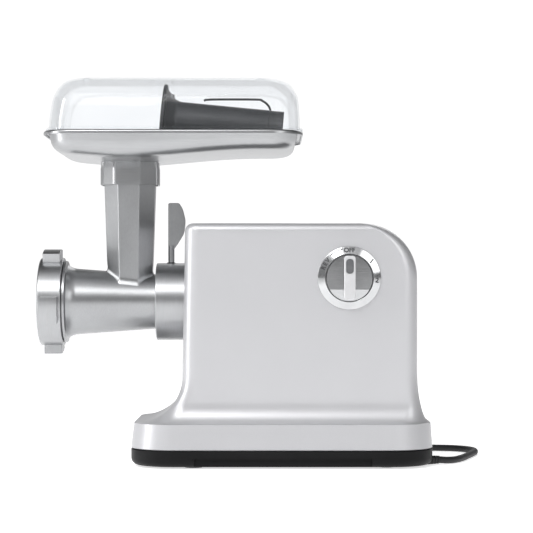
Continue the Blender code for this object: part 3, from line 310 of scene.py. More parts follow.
def frame_along(axis, place):
    """A matrix that takes local Z to the named world axis, with its origin at place."""
    turns = {
        "X": ((0, 0, 1), (1, 0, 0), (0, 1, 0)),
        "Y": ((0, 1, 0), (0, 0, 1), (1, 0, 0)),
        "Z": ((1, 0, 0), (0, 1, 0), (0, 0, 1)),
    }
    return Matrix.Translation(place) @ Matrix(turns[axis]).to_4x4()


def aimed(start, end):
    """A matrix that takes local Z to the line from start to end, with its origin at start."""
    return Matrix.Translation(start) @ (end - start).to_track_quat("Z", "Y").to_matrix().to_4x4()


def baked(item):
    """The object with its modifiers applied, as a mesh with welded points."""
    bpy.context.view_layer.update()
    graph = bpy.context.evaluated_depsgraph_get()
    mesh = bpy.data.meshes.new_from_object(item.evaluated_get(graph))
    work = bmesh.new()
    work.from_mesh(mesh)
    bmesh.ops.remove_doubles(work, verts=work.verts, dist=WELD)
    work.to_mesh(mesh)
    work.free()
    name = item.name
    bpy.data.objects.remove(item)
    made = bpy.data.objects.new(name, mesh)
    bpy.context.scene.collection.objects.link(made)
    return made


def turned(name, profile, material, axis="X", place=(0, 0, AXIS_Z), steps=96, ring=False):
    """A turned solid from (radius, height) points down its outer side; a ring's are a closed loop."""
    mesh = bpy.data.meshes.new(name)
    count = len(profile)
    edges = [(i, i + 1) for i in range(count - 1)] + ([(count - 1, 0)] if ring else [])
    mesh.from_pydata([(radius, 0, height) for radius, height in profile], edges, [])
    item = added(name, mesh, material)
    screw = item.modifiers.new("turn", "SCREW")
    screw.steps = screw.render_steps = steps
    screw.use_merge_vertices = True
    screw.merge_threshold = 1e-5
    item = baked(item)
    item.data.transform(frame_along(axis, Vector(place)))
    return item


def cylinder(name, radius, low, high, material, axis="X", place=(0, 0, AXIS_Z), steps=64):
    return turned(name, [(0, high), (radius, high), (radius, low), (0, low)], material, axis, place, steps)


def slab(name, outlines, low, high, material, axis="X", edge=0.0):
    """Flat outlines, the later ones holes in the first, given a thickness and rounded edges."""
    curve = bpy.data.curves.new(name, "CURVE")
    curve.dimensions = "2D"
    curve.fill_mode = "BOTH"
    curve.extrude = (high - low) / 2 - edge
    curve.bevel_depth = edge
    curve.bevel_resolution = 2
    curve.offset = -edge
    for outline in outlines:
        spline = curve.splines.new("POLY")
        spline.points.add(len(outline) - 1)
        for point, (u, v) in zip(spline.points, outline):
            point.co = (u, v, 0, 1)
        spline.use_cyclic_u = True
    item = bpy.data.objects.new(name, curve)
    bpy.context.scene.collection.objects.link(item)
    item = baked(item)
    item.data.materials.clear()
    item.data.materials.append(material)
    item.data.transform(Matrix.Translation((0, 0, (low + high) / 2)))
    item.data.transform(frame_along(axis, Vector((0, 0, 0))))
    return item


def block(name, low, high, material, bevel=0.0, segments=5):
    """A box between two corners, with rounded edges when bevel is set."""
    work = bmesh.new()
    bmesh.ops.create_cube(work, size=1)
    low, high = Vector(low), Vector(high)
    for vertex in work.verts:
        vertex.co = (low + high) / 2 + Vector(a * b for a, b in zip(vertex.co, high - low))
    mesh = bpy.data.meshes.new(name)
    work.to_mesh(mesh)
    work.free()
    item = added(name, mesh, material)
    if bevel:
        rounding = item.modifiers.new("edges", "BEVEL")
        rounding.width = bevel
        rounding.segments = segments
        item = baked(item)
    return item


def loft(name, rings, material, cap_first=True, cap_last=True):
    """Faces between rings of equally many points, with an end face on the first and last ring."""
    work = bmesh.new()
    rows = [[work.verts.new(point) for point in ring] for ring in rings]
    count = len(rings[0])
    for row, above in zip(rows, rows[1:]):
        for i in range(count):
            j = (i + 1) % count
            work.faces.new((row[i], row[j], above[j], above[i]))
    if cap_first:
        work.faces.new(list(reversed(rows[0])))
    if cap_last:
        work.faces.new(rows[-1])
    mesh = bpy.data.meshes.new(name)
    work.to_mesh(mesh)
    work.free()
    return added(name, mesh, material)


def walled(item, thickness):
    wall = item.modifiers.new("wall", "SOLIDIFY")
    wall.thickness = thickness
    wall.offset = -1
    wall.use_even_offset = True
    return baked(item)


def joined(item, *others, operation="UNION"):
    """item with the others added to it, or cut from it."""
    for other in others:
        step = item.modifiers.new("step", "BOOLEAN")
        step.operation = operation
        step.solver = "EXACT"
        step.object = other
    item = baked(item)
    for other in others:
        bpy.data.objects.remove(other)
    return item


def cut(item, *others):
    return joined(item, *others, operation="DIFFERENCE")


def rounded_rectangle(low, high, radius, corner_steps=12):
    """Points anticlockwise round a rectangle from low to high, (x, y) corners, with round corners."""
    centres = (
        (high[0] - radius, high[1] - radius, 0),
        (low[0] + radius, high[1] - radius, 1),
        (low[0] + radius, low[1] + radius, 2),
        (high[0] - radius, low[1] + radius, 3),
    )
    points = []
    for x, y, quarter in centres:
        for step in range(corner_steps + 1):
            angle = TURN / 4 * (quarter + step / corner_steps)
            points.append((x + radius * math.cos(angle), y + radius * math.sin(angle)))
    return points


def rounded_octagon(centre, flats, radius, corner_steps=4):
    """Points round an octagon whose flats face X and Y, with its corners rounded."""
    reach = (flats / 2 - radius) / math.cos(math.pi / 8)
    points = []
    for corner in range(8):
        middle = TURN * (corner + 0.5) / 8
        x, y = centre[0] + reach * math.cos(middle), centre[1] + reach * math.sin(middle)
        for step in range(corner_steps + 1):
            angle = middle + TURN / 8 * (step / corner_steps - 0.5)
            points.append((x + radius * math.cos(angle), y + radius * math.sin(angle)))
    return points


def circle(radius, centre=(0, 0), steps=64, start=0.0):
    angles = [start + TURN * i / steps for i in range(steps)]
    return [(centre[0] + radius * math.cos(a), centre[1] + radius * math.sin(a)) for a in angles]


def arc_profile(centre, radius, start, end, steps=6):
    """(radius, height) points on a small arc, between two angles in degrees, to round a turned edge."""
    points = []
    for k in range(steps + 1):
        angle = math.radians(start + (end - start) * k / steps)
        points.append((centre[0] + radius * math.cos(angle), centre[1] + radius * math.sin(angle)))
    return points


def smooth_line(points, spacing):
    """Points about spacing apart on a centripetal Catmull-Rom curve through the given ones."""
    points = [Vector(p) for p in points]
    ends = [2 * points[0] - points[1], *points, 2 * points[-1] - points[-2]]
    line = [points[0]]
    for a, b, c, d in zip(ends, ends[1:], ends[2:], ends[3:]):
        steps = max(1, round((c - b).length / spacing))
        for k in range(1, steps + 1):
            t = k / steps
            square = (2 * a - 5 * b + 4 * c - d) * t**2
            cube = (3 * b - a - 3 * c + d) * t**3
            line.append(0.5 * (2 * b + (c - a) * t + square + cube))
    return line


def wire(name, points, radius, material, sides=6):
    """A round tube along a line, kept as a curve."""
    curve = bpy.data.curves.new(name, "CURVE")
    curve.dimensions = "3D"
    curve.bevel_depth = radius
    curve.bevel_resolution = sides
    curve.use_fill_caps = True
    spline = curve.splines.new("POLY")
    spline.points.add(len(points) - 1)
    for point, place in zip(spline.points, points):
        point.co = (*place, 1)
    spline.use_smooth = True
    item = bpy.data.objects.new(name, curve)
    bpy.context.scene.collection.objects.link(item)
    curve.materials.append(material)
    return item


def shown(item, body, *nodes, angle=SMOOTH_BELOW):
    """Shades a piece, lets it move with its body and shows it in place of its CAD nodes."""
    item.data.shade_smooth()
    item.data.set_sharp_from_angle(angle=angle)
    even = item.modifiers.new("even_shading", "WEIGHTED_NORMAL")
    even.keep_sharp = True
    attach(item, body)
    if nodes:
        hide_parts(*nodes)
    return item


# ---------------- camera and cord


def camera():
    data = bpy.data.cameras.new("camera")
    data.lens, data.sensor_width = CAMERA_LENS, 36.0
    data.shift_y = CAMERA_SHIFT
    item = bpy.data.objects.new("camera", data)
    item.location = CAMERA_PLACE
    item.rotation_euler = (math.pi / 2, 0, 0)
    bpy.context.scene.collection.objects.link(item)
    bpy.context.scene.camera = item


def coil_points():
    """Four laps of the coil as a bundle of two by two, which turns a quarter on each lap."""
    start = Vector(CORD_ROUTE[-1]).xy - COIL_CENTRE
    first = math.atan2(start.y, start.x)
    strand, zone, steps = 0.00467, 1 / 6, 90
    points = []
    for k in range(4, steps * COIL_LAPS + 1):
        lap = min(k // steps, COIL_LAPS - 1)
        share = k / steps - lap
        turn = 0.0
        if lap < COIL_LAPS - 1 and share > 1 - zone:
            turn = (1 - math.cos(math.pi * (share - 1 + zone) / zone)) / 2
        side = math.radians(-45 - 90 * (lap + turn))
        settle = math.cos(math.radians(45 - 90 * turn))
        entry = max(0.0, 1 - k / (steps * 0.16)) ** 2 if lap == 0 else 0.0
        reach = COIL_MEAN + strand * math.cos(side)
        reach += (start.length - reach) * entry
        height = CORD_LIE + strand * (settle + math.sin(side))
        angle = first - TURN * k / steps
        x, y = COIL_CENTRE.x + reach * math.cos(angle), COIL_CENTRE.y + reach * math.sin(angle)
        points.append((x, y, height))
    return points


def cord():
    line = smooth_line((*CORD_ROUTE, *coil_points(), *TAIL_ROUTE), 0.004)
    flex = wire("mains_cord", line, CORD_RADIUS, RUBBER)
    length = sum((b - a).length for a, b in zip(line, line[1:]))
    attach(flex, "housing")
    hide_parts("cord_run", "cord_coil", "cord_tail")
    return flex, length


camera()
flex, cord_length = cord()


# ---------------- housing and base


def flare(low, high, z, inner, outer):
    """The wall's place at height z: a flare leaves the upright wall at high and ends level at low."""
    if z >= high:
        return inner
    drop = min(1.0, (high - z) / (high - low))
    return outer + (inner - outer) * math.sqrt(1 - drop * drop)


def housing_section(z):
    upright = HOUSING_FRONT - FRONT_LEAN * (HOUSING_TOP - z) / HOUSING_TOP
    front = flare(SKIRT_TOP, FLARE_FRONT_TOP, z, upright, SKIRT_FRONT)
    rear = flare(SKIRT_TOP, FLARE_REAR_TOP, z, HOUSING_REAR, SKIRT_REAR)
    half = flare(SKIRT_TOP, FLARE_SIDE_TOP, z, HOUSING_HALF, SKIRT_HALF)
    spread = (half - HOUSING_HALF) / (SKIRT_HALF - HOUSING_HALF)
    corner = HOUSING_CORNER + (SKIRT_CORNER - HOUSING_CORNER) * spread
    above = z - (HOUSING_TOP - REAR_TOP_RADIUS)
    if above > 0:
        rear -= REAR_TOP_RADIUS - math.sqrt(max(0.0, REAR_TOP_RADIUS**2 - above**2))
    near_top = z - (HOUSING_TOP - TOP_EDGE)
    if near_top > 0:
        shrink = TOP_EDGE - math.sqrt(max(0.0, TOP_EDGE**2 - near_top**2))
        front += shrink
        half -= shrink
        corner = max(0.004, corner - shrink)
    return [(x, y, z) for x, y in rounded_rectangle((front, -half), (rear, half), corner)]


def housing():
    spans = (
        (SKIRT_TOP, FLARE_SIDE_TOP, 14, 1.8),
        (FLARE_SIDE_TOP, FLARE_REAR_TOP, 10, 1.0),
        (FLARE_REAR_TOP, 0.173, 3, 1.0),
        (0.173, 0.216, 14, 1.0),
    )
    heights = []
    for low, high, steps, bend in spans:
        heights += [low + (high - low) * (k / steps) ** bend for k in range(steps)]
    heights += [HOUSING_TOP - TOP_EDGE * (1 - math.sin(TURN / 4 * k / 8)) for k in range(9)]
    skirt = rounded_rectangle((BASE_FRONT, -BASE_HALF), (BASE_REAR, BASE_HALF), BASE_CORNER)
    lip = rounded_rectangle(
        (BASE_FRONT + 0.0006, -BASE_HALF + 0.0006), (BASE_REAR - 0.0006, BASE_HALF - 0.0006), BASE_CORNER
    )
    rings = [[(x, y, BASE_TOP) for x, y in lip], [(x, y, BASE_TOP + 0.0006) for x, y in skirt]]
    rings += [housing_section(z) for z in heights]
    shell = walled(loft("housing_shell_seen", rings, SHELL, cap_first=False), SHELL_WALL)
    wall = (HOUSING_FRONT - 0.01, HOUSING_FRONT + 0.01)
    spigot_hole = cylinder("spigot_hole", SOCKET_RADIUS + GAP, *wall, SHELL, steps=104)
    switch_hole = cylinder("switch_hole", 0.0056, -0.080, -0.065, SHELL, "Y", (DIAL_X, 0, DIAL_Z), 48)
    shown(cut(shell, spigot_hole, switch_hole), "housing", "housing_shell")


def base_ring(inset, z):
    low = (BASE_FRONT + inset, -BASE_HALF + inset)
    high = (BASE_REAR - inset, BASE_HALF - inset)
    return [(x, y, z) for x, y in rounded_rectangle(low, high, BASE_CORNER - inset)]


def base_pan():
    """The black pan under the skirt, with the recess, vents, screw holes and foot pockets below."""
    rings = []
    for k in range(7):
        angle = TURN / 4 * k / 6
        inset, up = PAN_EDGE * (1 - math.sin(angle)), PAN_EDGE * (1 - math.cos(angle))
        rings.append(base_ring(inset, BASE_BOTTOM + up))
    rings += [base_ring(0, BASE_TOP - 0.0012), base_ring(0.0007, BASE_TOP - GAP)]
    pan = loft("base_pan_seen", rings, BASE)
    recess_front, recess_rear, recess_depth, recess_height = -0.035, 0.126, 0.0035, 0.0093
    recess_end = (recess_rear, -BASE_HALF + recess_depth, recess_height)
    tools = [block("recess", (recess_front, -0.1, 0.0), recess_end, BASE)]
    for x, y in POST_PLACES:
        tools.append(cylinder("counterbore", 0.0040, 0, 0.0080, BASE, "Z", (x, y, 0), 32))
    for x, y in FOOT_PLACES:
        tools.append(cylinder("foot_pocket", 0.0094, 0, 0.0032, BASE, "Z", (x, y, 0), 48))
    vent_start, vent_pitch, vent_width, vent_half = 0.030, 0.016, 0.004, 0.030
    for i in range(4):
        left = vent_start + vent_pitch * i
        tools.append(block(f"vent_{i}", (left, -vent_half, 0), (left + vent_width, vent_half, 0.01), BASE))
    relief = slab("relief_hole", [circle(0.0050, steps=40)], -0.004, 0.040, BASE, "Z")
    relief.data.transform(aimed(RELIEF_START, RELIEF_END))
    shown(cut(pan, *tools, relief), "housing", "base_pan")
    profile = [(0, 0.0029), *arc_profile((0.0086, 0.0025), 0.0004, 90, 0, 4), (0.0084, 0.0), (0.0, 0.0)]
    for i, (x, y) in enumerate(FOOT_PLACES, 1):
        shown(turned(f"foot_{i}_seen", profile, RUBBER, "Z", (x, y, 0), 48), "housing", f"foot_{i}")


# ---------------- hub socket and clamp lever


def hub_socket():
    radius, lip = SOCKET_RADIUS, 0.0010
    profile = [
        (0.0275, -0.0385),
        (0.0275, SOCKET_REAR),
        (radius, SOCKET_REAR),
        *arc_profile((radius - lip, SOCKET_FRONT + lip), lip, 0, -90),
        *arc_profile((SOCKET_BORE + 0.0006, SOCKET_FRONT + 0.0006), 0.0006, -90, -180, 4),
        (SOCKET_BORE, BARREL_REAR + 0.0008),
        (0.0150, BARREL_REAR + 0.0008),
        (0.0150, -0.0385),
    ]
    socket = turned("hub_socket_seen", profile, TURNED, steps=104, ring=True)
    pocket = block("pocket", (-0.0642, -0.0043, 0.1792), (-0.0556, 0.0043, 0.20), CAST)
    shown(cut(socket, pocket), "housing", "hub_socket")
    bush = block("lever_bush_seen", (-0.0639, -0.0040, 0.1795), (-0.0559, 0.0040, 0.1880), BASE, 0.0004, 3)
    stem_hole = cylinder("stem_hole", 0.0033, 0.17, 0.20, BASE, "Z", (LEVER_X, 0, 0), 48)
    shown(cut(bush, stem_hole), "housing", "lever_bush")


LEVER_BACK = (
    (-0.0570, 0.2010, 0),
    (-0.0521, 0.2082, 0),
    (-0.0478, 0.2162, 0),
    (-0.0465, 0.2257, 0),
    (-0.0470, 0.2310, 0),
    (-0.0492, 0.2390, 0),
    (-0.0522, 0.2440, 0),
)


def lock_lever():
    edge = LEVER_X - 0.0029
    back = smooth_line(LEVER_BACK, 0.0012)
    outline = [(edge, 0.1900), (-0.0570, 0.1900), *[(p.x, p.y) for p in back]]
    outline += [(-0.0535, 0.2446), (edge + 0.0018, 0.2446), (edge + 0.0005, 0.2441), (edge, 0.2432)]
    outline = [(z, x) for x, z in outline]
    flag = slab("lock_lever_seen", [outline], -LEVER_HALF, LEVER_HALF, CAST, "Y", 0.0006)
    stem = cylinder("stem", 0.0029, 0.1776, 0.2040, CAST, "Z", (LEVER_X, 0, 0), 48)
    shown(joined(flag, stem), "lever", "lock_lever")


# ---------------- grinding head


def barrel_radius(x):
    share = (x - THREAD_END) / (SOCKET_FRONT - 0.004 - THREAD_END)
    return BARREL_FRONT_RADIUS + (BARREL_REAR_RADIUS - BARREL_FRONT_RADIUS) * share


def barrel_top(x, y):
    """Height of the barrel's upper surface."""
    radius = barrel_radius(x)
    return AXIS_Z + math.sqrt(max(0.0, radius * radius - y * y))


def throat_rings():
    """The octagonal throat, whose foot spreads into the barrel in a cast fillet."""
    fillet, steps = 0.0048, 7
    foot_flats = THROAT_LOW_FLATS + 0.0004
    wall = rounded_octagon((THROAT_X, 0), foot_flats, 0.0024)
    out = []
    for x, y in wall:
        away = math.hypot(x - THROAT_X, y)
        out.append(((x - THROAT_X) / away, y / away))
    rings = [[] for _ in range(steps + 2)]
    for (x, y), (dx, dy) in zip(wall, out):
        corner = Vector((x, y, barrel_top(x, y)))
        probe = barrel_top(x + dx * 0.001, y + dy * 0.001)
        slope = (corner.z - probe) / 0.001
        reach = fillet / math.sqrt(1 + slope * slope)
        far = Vector((x + dx * reach, y + dy * reach, 0))
        far.z = barrel_top(far.x, far.y) - 0.00012
        high = corner + Vector((0, 0, fillet))
        rings[0].append((far.x, far.y, far.z - 0.004))
        for k in range(steps + 1):
            t = k / steps
            point = far * (1 - t) ** 2 + corner * 2 * t * (1 - t) + high * t * t
            rings[k + 1].append(tuple(point))
    for z in (0.190, 0.230, THROAT_TOP - 0.0005):
        rise = (z - THROAT_LOW) / (THROAT_TOP - THROAT_LOW)
        flats = THROAT_LOW_FLATS + (THROAT_TOP_FLATS - THROAT_LOW_FLATS) * rise
        rings.append([(x, y, z) for x, y in rounded_octagon((THROAT_X, 0), flats, 0.0018)])
    top = rounded_octagon((THROAT_X, 0), THROAT_TOP_FLATS - 0.001, 0.0016)
    return rings + [[(x, y, THROAT_TOP) for x, y in top]]


def grinder_head():
    shank = SOCKET_FRONT - 0.0040
    edge = 0.0005
    profile = [
        (0.0, BARREL_REAR),
        *arc_profile((BARREL_REAR_RADIUS - 0.001, BARREL_REAR - 0.001), 0.001, 90, 0),
        (BARREL_REAR_RADIUS, shank),
        (barrel_radius(-0.112), -0.112),
        (barrel_radius(-0.148), -0.148),
        (barrel_radius(-0.151) + 0.0003, -0.151),
        (barrel_radius(-0.151) + 0.0013, -0.1540),
        (0.0345, -0.1572),
        *arc_profile((0.0385 - edge, -0.1580 - edge), edge, 90, 0, 3),
        *arc_profile((0.0385 - edge, -0.1606 + edge), edge, 0, -90, 3),
        (THREAD_RADIUS, -0.1610),
        (THREAD_RADIUS, BARREL_FRONT + 0.0006),
        (THREAD_RADIUS - 0.0006, BARREL_FRONT),
        (0.0, BARREL_FRONT),
    ]
    body = turned("grinder_head_seen", profile, CAST, steps=104)
    body = joined(body, loft("throat", throat_rings(), CAST))
    way = []
    for z, flats in ((AXIS_Z, THROAT_LOW_FLATS - 0.007), (THROAT_TOP + 0.01, THROAT_TOP_FLATS - 0.006)):
        way.append([(x, y, z) for x, y in rounded_octagon((THROAT_X, 0), flats, 0.001, 2)])
    bore = [
        (0.0, -0.0740),
        (0.0218, -0.0780),
        (0.0276, -0.1600),
        (0.0276, PLATE_BACK + 0.0005),
        (PLATE_RADIUS + GAP, PLATE_BACK + 0.0005),
        (PLATE_RADIUS + GAP, BARREL_FRONT - 0.01),
        (0.0, BARREL_FRONT - 0.01),
    ]
    tools = (
        loft("throat_way", way, CAST),
        turned("barrel_bore", bore, CAST, steps=80),
        cylinder("shaft_bore", 0.0105, -0.09, -0.04, CAST, steps=48),
        cylinder("dog_bore", 0.0135, -0.0625, -0.04, CAST, steps=64),
    )
    shown(cut(body, *tools), "head", "grinder_head")


def cutting_plate():
    outer = circle(PLATE_RADIUS, (0, AXIS_Z), 144)
    holes = [circle(0.0043, (0, AXIS_Z), 40)]
    for ring, count in ((0.0102, 6), (0.0172, 10), (0.0243, 14)):
        for y, z in circle(ring, (0, AXIS_Z), count):
            holes.append(circle(0.0024, (y, z), 28))
    plate = slab("cutting_plate_seen", [outer, *holes], PLATE_FRONT, PLATE_BACK, STEEL, edge=0.0003)
    notch = block("notch", (-0.19, -0.0024, AXIS_Z - 0.0330), (-0.16, 0.0024, AXIS_Z - 0.0290), STEEL)
    shown(cut(plate, notch), "plate", "cutting_plate")


def ring_nut():
    edge = 0.0008
    profile = [
        *arc_profile((NUT_RADIUS - edge, NUT_BACK - edge), edge, 90, 0, 4),
        *arc_profile((NUT_RADIUS - 0.0022, NUT_FRONT + 0.0022), 0.0022, 0, -90, 8),
        *arc_profile((0.0325 + 0.0006, NUT_FRONT + 0.0006), 0.0006, -90, -160, 4),
        (0.0285, PLATE_FRONT - 0.0005),
        (THREAD_RADIUS + 0.0005, PLATE_FRONT - 0.0005),
        (THREAD_RADIUS + 0.0005, NUT_BACK),
    ]
    nut = turned("ring_nut_seen", profile, TURNED, steps=104, ring=True)
    inner, half_foot, steps = NUT_RADIUS - 0.0025, 1.15 * LUG_HALF, 12
    lugs = []
    for lug in range(4):
        centre = LUG_START + TURN * lug / 4
        arc = [(LUG_RADIUS, centre + LUG_HALF * k / steps) for k in range(-steps, steps + 1)]
        outline = [(inner, centre - half_foot), *arc, (inner, centre + half_foot)]
        points = [(r * math.cos(a), AXIS_Z + r * math.sin(a)) for r, a in outline]
        lugs.append(slab(f"lug_{lug}", [points], NUT_FRONT + 0.0035, NUT_BACK - 0.0022, CAST, edge=0.0007))
    shown(joined(nut, *lugs), "nut", "ring_nut")


# ---------------- tray, lid and what they hold


def tray_floor(x):
    """Height of the tray's underside along its length, lowest at the throat."""
    return 0.2832 + 0.0078 * math.sin(min(1.0, abs(x - THROAT_X) / 0.125) * math.pi / 2) ** 1.6


def tray_outline():
    """Points round the tray, no more than about 6 mm apart."""
    points = []
    corners = rounded_rectangle((TRAY_FRONT, -TRAY_HALF), (TRAY_REAR, TRAY_HALF), TRAY_CORNER, 14)
    for (ax, ay), (bx, by) in zip(corners, corners[1:] + corners[:1]):
        steps = max(1, round(math.hypot(bx - ax, by - ay) / 0.006))
        points += [(ax + (bx - ax) * k / steps, ay + (by - ay) * k / steps) for k in range(steps)]
    return points


def octagon_reach(angle, flats, radius):
    """How far an octagon with rounded corners reaches from its centre in a direction."""
    from_flat = (angle + math.pi / 8) % (TURN / 8) - math.pi / 8
    sharp = flats / 2 / math.cos(from_flat)
    centre = (flats / 2 - radius) / math.cos(math.pi / 8)
    to_corner = math.pi / 8 - abs(from_flat)
    off = centre * math.sin(to_corner)
    if off >= radius:
        return sharp
    return min(sharp, centre * math.cos(to_corner) + math.sqrt(radius * radius - off * off))


# The tray's wall as (inset from the outline, share of the way from the rim to the floor)
TRAY_WALL = (
    (0.0008, 0.20),
    (0.0013, 0.35),
    (0.0020, 0.52),
    (0.0031, 0.66),
    (0.0048, 0.78),
    (0.0075, 0.89),
    (0.0110, 0.96),
    (0.0150, 1.0),
)


def tray():
    """A rolled rim, a wall that curves into a sloping floor, and a sleeve that slips over the throat."""
    outer = tray_outline()
    count = len(outer)
    angles = [math.atan2(y, x - THROAT_X) for x, y in outer]
    flange, lip, start, fold = TRAY_RIM - SHEET, 0.0009, -0.0012, 0.0014
    rings = []

    def offset(inset, height):
        ring = []
        for i, (x, y) in enumerate(outer):
            before, after = outer[i - 1], outer[(i + 1) % count]
            along = Vector((after[0] - before[0], after[1] - before[1])).normalized()
            ring.append((x - along.y * inset, y + along.x * inset, height))
        return ring

    rings.append(offset(-RIM_OVERHANG, flange - 0.0024))
    for k in range(5):
        angle = TURN / 4 * k / 4
        inset = -RIM_OVERHANG + lip * (1 - math.cos(angle))
        rings.append(offset(inset, flange - lip * (1 - math.sin(angle))))
    rings.append(offset(start, flange))
    for k in range(1, 6):
        angle = TURN / 4 * k / 5
        rings.append(offset(start + fold * math.sin(angle), flange - fold * (1 - math.cos(angle))))
    for inset, drop in TRAY_WALL:
        ring = []
        for x, y, _ in offset(inset, 0):
            ring.append((x, y, flange + (tray_floor(x) - flange) * drop))
        rings.append(ring)
    edge = [(x, y) for x, y, _ in offset(TRAY_WALL[-1][0], 0)]
    neck = SLEEVE_FLATS / 2 - 0.0006
    for share in (0.15, 0.30, 0.45, 0.60, 0.74, 0.86, 0.95, 1.0):
        ring = []
        for (x, y), angle in zip(edge, angles):
            reach = octagon_reach(angle, 2 * neck, 0.004)
            mouth_x, mouth_y = THROAT_X + reach * math.cos(angle), reach * math.sin(angle)
            px, py = x + (mouth_x - x) * share, y + (mouth_y - y) * share
            ring.append((px, py, tray_floor(px) - 0.0016 * share**7))
        rings.append(ring)
    for drop, out in ((0.0012, 0.0002), (0.0034, 0.0006), (0.0186, 0.0006)):
        ring = []
        for angle in angles:
            reach = octagon_reach(angle, 2 * (neck + out), 0.003)
            ring.append((THROAT_X + reach * math.cos(angle), reach * math.sin(angle), SLEEVE_TOP - drop))
        rings.append(ring)
    rings[-1] = [(x, y, SLEEVE_LOW) for x, y, _ in rings[-1]]
    rings = [list(reversed(ring)) for ring in rings]
    skin = loft("tray_seen", rings, TRAY, cap_first=False, cap_last=False)
    shown(walled(skin, SHEET), "tray", "tray")


# The lid's foot and its side, as (inset from the tray's outline, height, extra length at the rear)
LID_FOOT = ((-0.0030, 0.3084, 0.0), (-0.0030, 0.3101, 0.0), (-0.0028, 0.3105, 0.0), (-0.0024, 0.3106, 0.0))
LID_SECTIONS = (
    (-0.0004, 0.3106, 0.0),
    (0.0006, 0.3235, 0.0006),
    (0.0032, 0.3380, 0.0020),
    (0.0070, 0.3470, 0.0020),
    (0.0120, 0.3530, 0.0020),
    (0.0195, 0.3568, 0.0),
    (0.0300, 0.3582, 0.0),
    (0.0480, 0.3588, 0.0),
)


# A bump on the lid's top, as (radius, height)
BUMP = (
    (0.0, 0.3612),
    (0.0022, 0.3610),
    (0.0034, 0.3605),
    (0.0043, 0.3597),
    (0.0048, 0.3588),
    (0.0050, 0.3578),
    (0.0, 0.3578),
)
BUMP_PLACES = (-0.1380, 0.0250)
BUMP_Y = -0.020


def lid():
    sections = [*LID_FOOT, *[tuple(point) for point in smooth_line(LID_SECTIONS, 0.0022)]]
    rings = []
    for inset, z, rear in sections:
        low = (TRAY_FRONT + inset, -TRAY_HALF + inset)
        high = (TRAY_REAR + 0.002 - inset + rear, TRAY_HALF - inset)
        corner = max(0.012, TRAY_CORNER + 0.002 - inset * 0.5)
        rings.append([(x, y, z) for x, y in rounded_rectangle(low, high, corner)])
    skin = loft("lid_seen", rings, CLEAR, cap_first=False)
    skin = walled(skin, LID_WALL)
    bumps = []
    for x in BUMP_PLACES:
        bumps.append(turned("bump", BUMP, CLEAR, "Z", (x, BUMP_Y, 0), 48))
    shown(joined(skin, *bumps), "lid", "lid")


def horn(name, flange, tube_radius, end_radius, length, front, side, start_z, end_z):
    """A sausage horn: a flange, a short flared funnel, a long tube and a thinner end band."""
    funnel, wall = 0.014, 0.0016
    band = length - 0.0135
    outer = [*arc_profile((end_radius - 0.0005, length - 0.0005), 0.0005, 90, 0, 3), (end_radius, band)]
    outer += [(end_radius + 0.0003, band - 0.0004), (tube_radius, funnel + 0.001)]
    mouth = flange * 0.86
    for k in range(1, 8):
        share = k / 8
        radius = tube_radius + (mouth - tube_radius) * share**1.25
        outer.append((radius, funnel + (0.0040 - funnel) * share))
    outer += [(mouth, 0.0038), *arc_profile((flange - 0.0006, 0.0025), 0.0005, 90, 0, 3)]
    outer += [(flange, 0.0004), (flange - 0.0004, 0.0)]
    inner = [(mouth - wall, 0.0), (flange * 0.80 - wall, 0.0035)]
    inner += [(tube_radius - wall, funnel + 0.001), (end_radius - wall, length)]
    item = turned(name + "_seen", outer + inner, HORN, "Z", (0, 0, 0), 96, ring=True)
    start = Vector((front, side, start_z))
    item.data.transform(aimed(start, start + Vector((length, 0, end_z - start_z))))
    shown(item, "tray", name)


BAIL_ROUTE = (
    (-0.0300, 0.0360, 0.3452),
    (-0.0240, 0.0360, 0.3466),
    (0.0200, 0.0360, 0.3466),
    (0.0262, 0.0360, 0.3455),
    (0.0320, 0.0360, 0.3410),
    (0.0345, 0.0360, 0.3340),
    (0.0352, 0.0360, 0.3150),
    (0.0352, 0.0360, 0.2960),
)


def accessory_bail():
    item = wire("accessory_bail_seen", smooth_line(BAIL_ROUTE, 0.0018), 0.0011, HORN, 5)
    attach(item, "tray")
    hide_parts("accessory_bail")


# ---------------- dial


RING_INNER, RING_FACE, RING_FALL = 0.0222, -0.0787, 0.33


def laid_on_ring(item):
    """Bends a flat mark, made at a height of zero, onto the ring's sloping face."""
    for vertex in item.data.vertices:
        reach = math.hypot(vertex.co.x - DIAL_X, vertex.co.z - DIAL_Z)
        vertex.co.y += RING_FACE + RING_FALL * (reach - RING_INNER) - 0.00002
    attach(item, "housing")


def dial_mark(name, letters, degrees, lean, size, reach=0.0252):
    """A printed word on the dial's ring, at an angle round the ring and leaning from upright."""
    text = bpy.data.curves.new(name, "FONT")
    text.body = letters
    text.size = size
    text.offset = size * 0.035
    text.align_x = text.align_y = "CENTER"
    text.extrude = 0.00005
    item = bpy.data.objects.new(name, text)
    bpy.context.scene.collection.objects.link(item)
    item = baked(item)
    item.data.materials.clear()
    item.data.materials.append(INK_AND_GAP_SHADE)
    angle = math.radians(degrees)
    place = Vector((DIAL_X + reach * math.cos(angle), 0, DIAL_Z + reach * math.sin(angle)))
    upright = Matrix.Rotation(TURN / 4, 4, "X") @ Matrix.Rotation(math.radians(lean), 4, "Z")
    item.data.transform(Matrix.Translation(place) @ upright)
    laid_on_ring(item)


def on_dial(low, high, half_width, radius):
    """A rounded outline upright on the dial, between two heights from its centre."""
    corners = (DIAL_Z + low, DIAL_X - half_width), (DIAL_Z + high, DIAL_X + half_width)
    return rounded_rectangle(*corners, radius, 10)


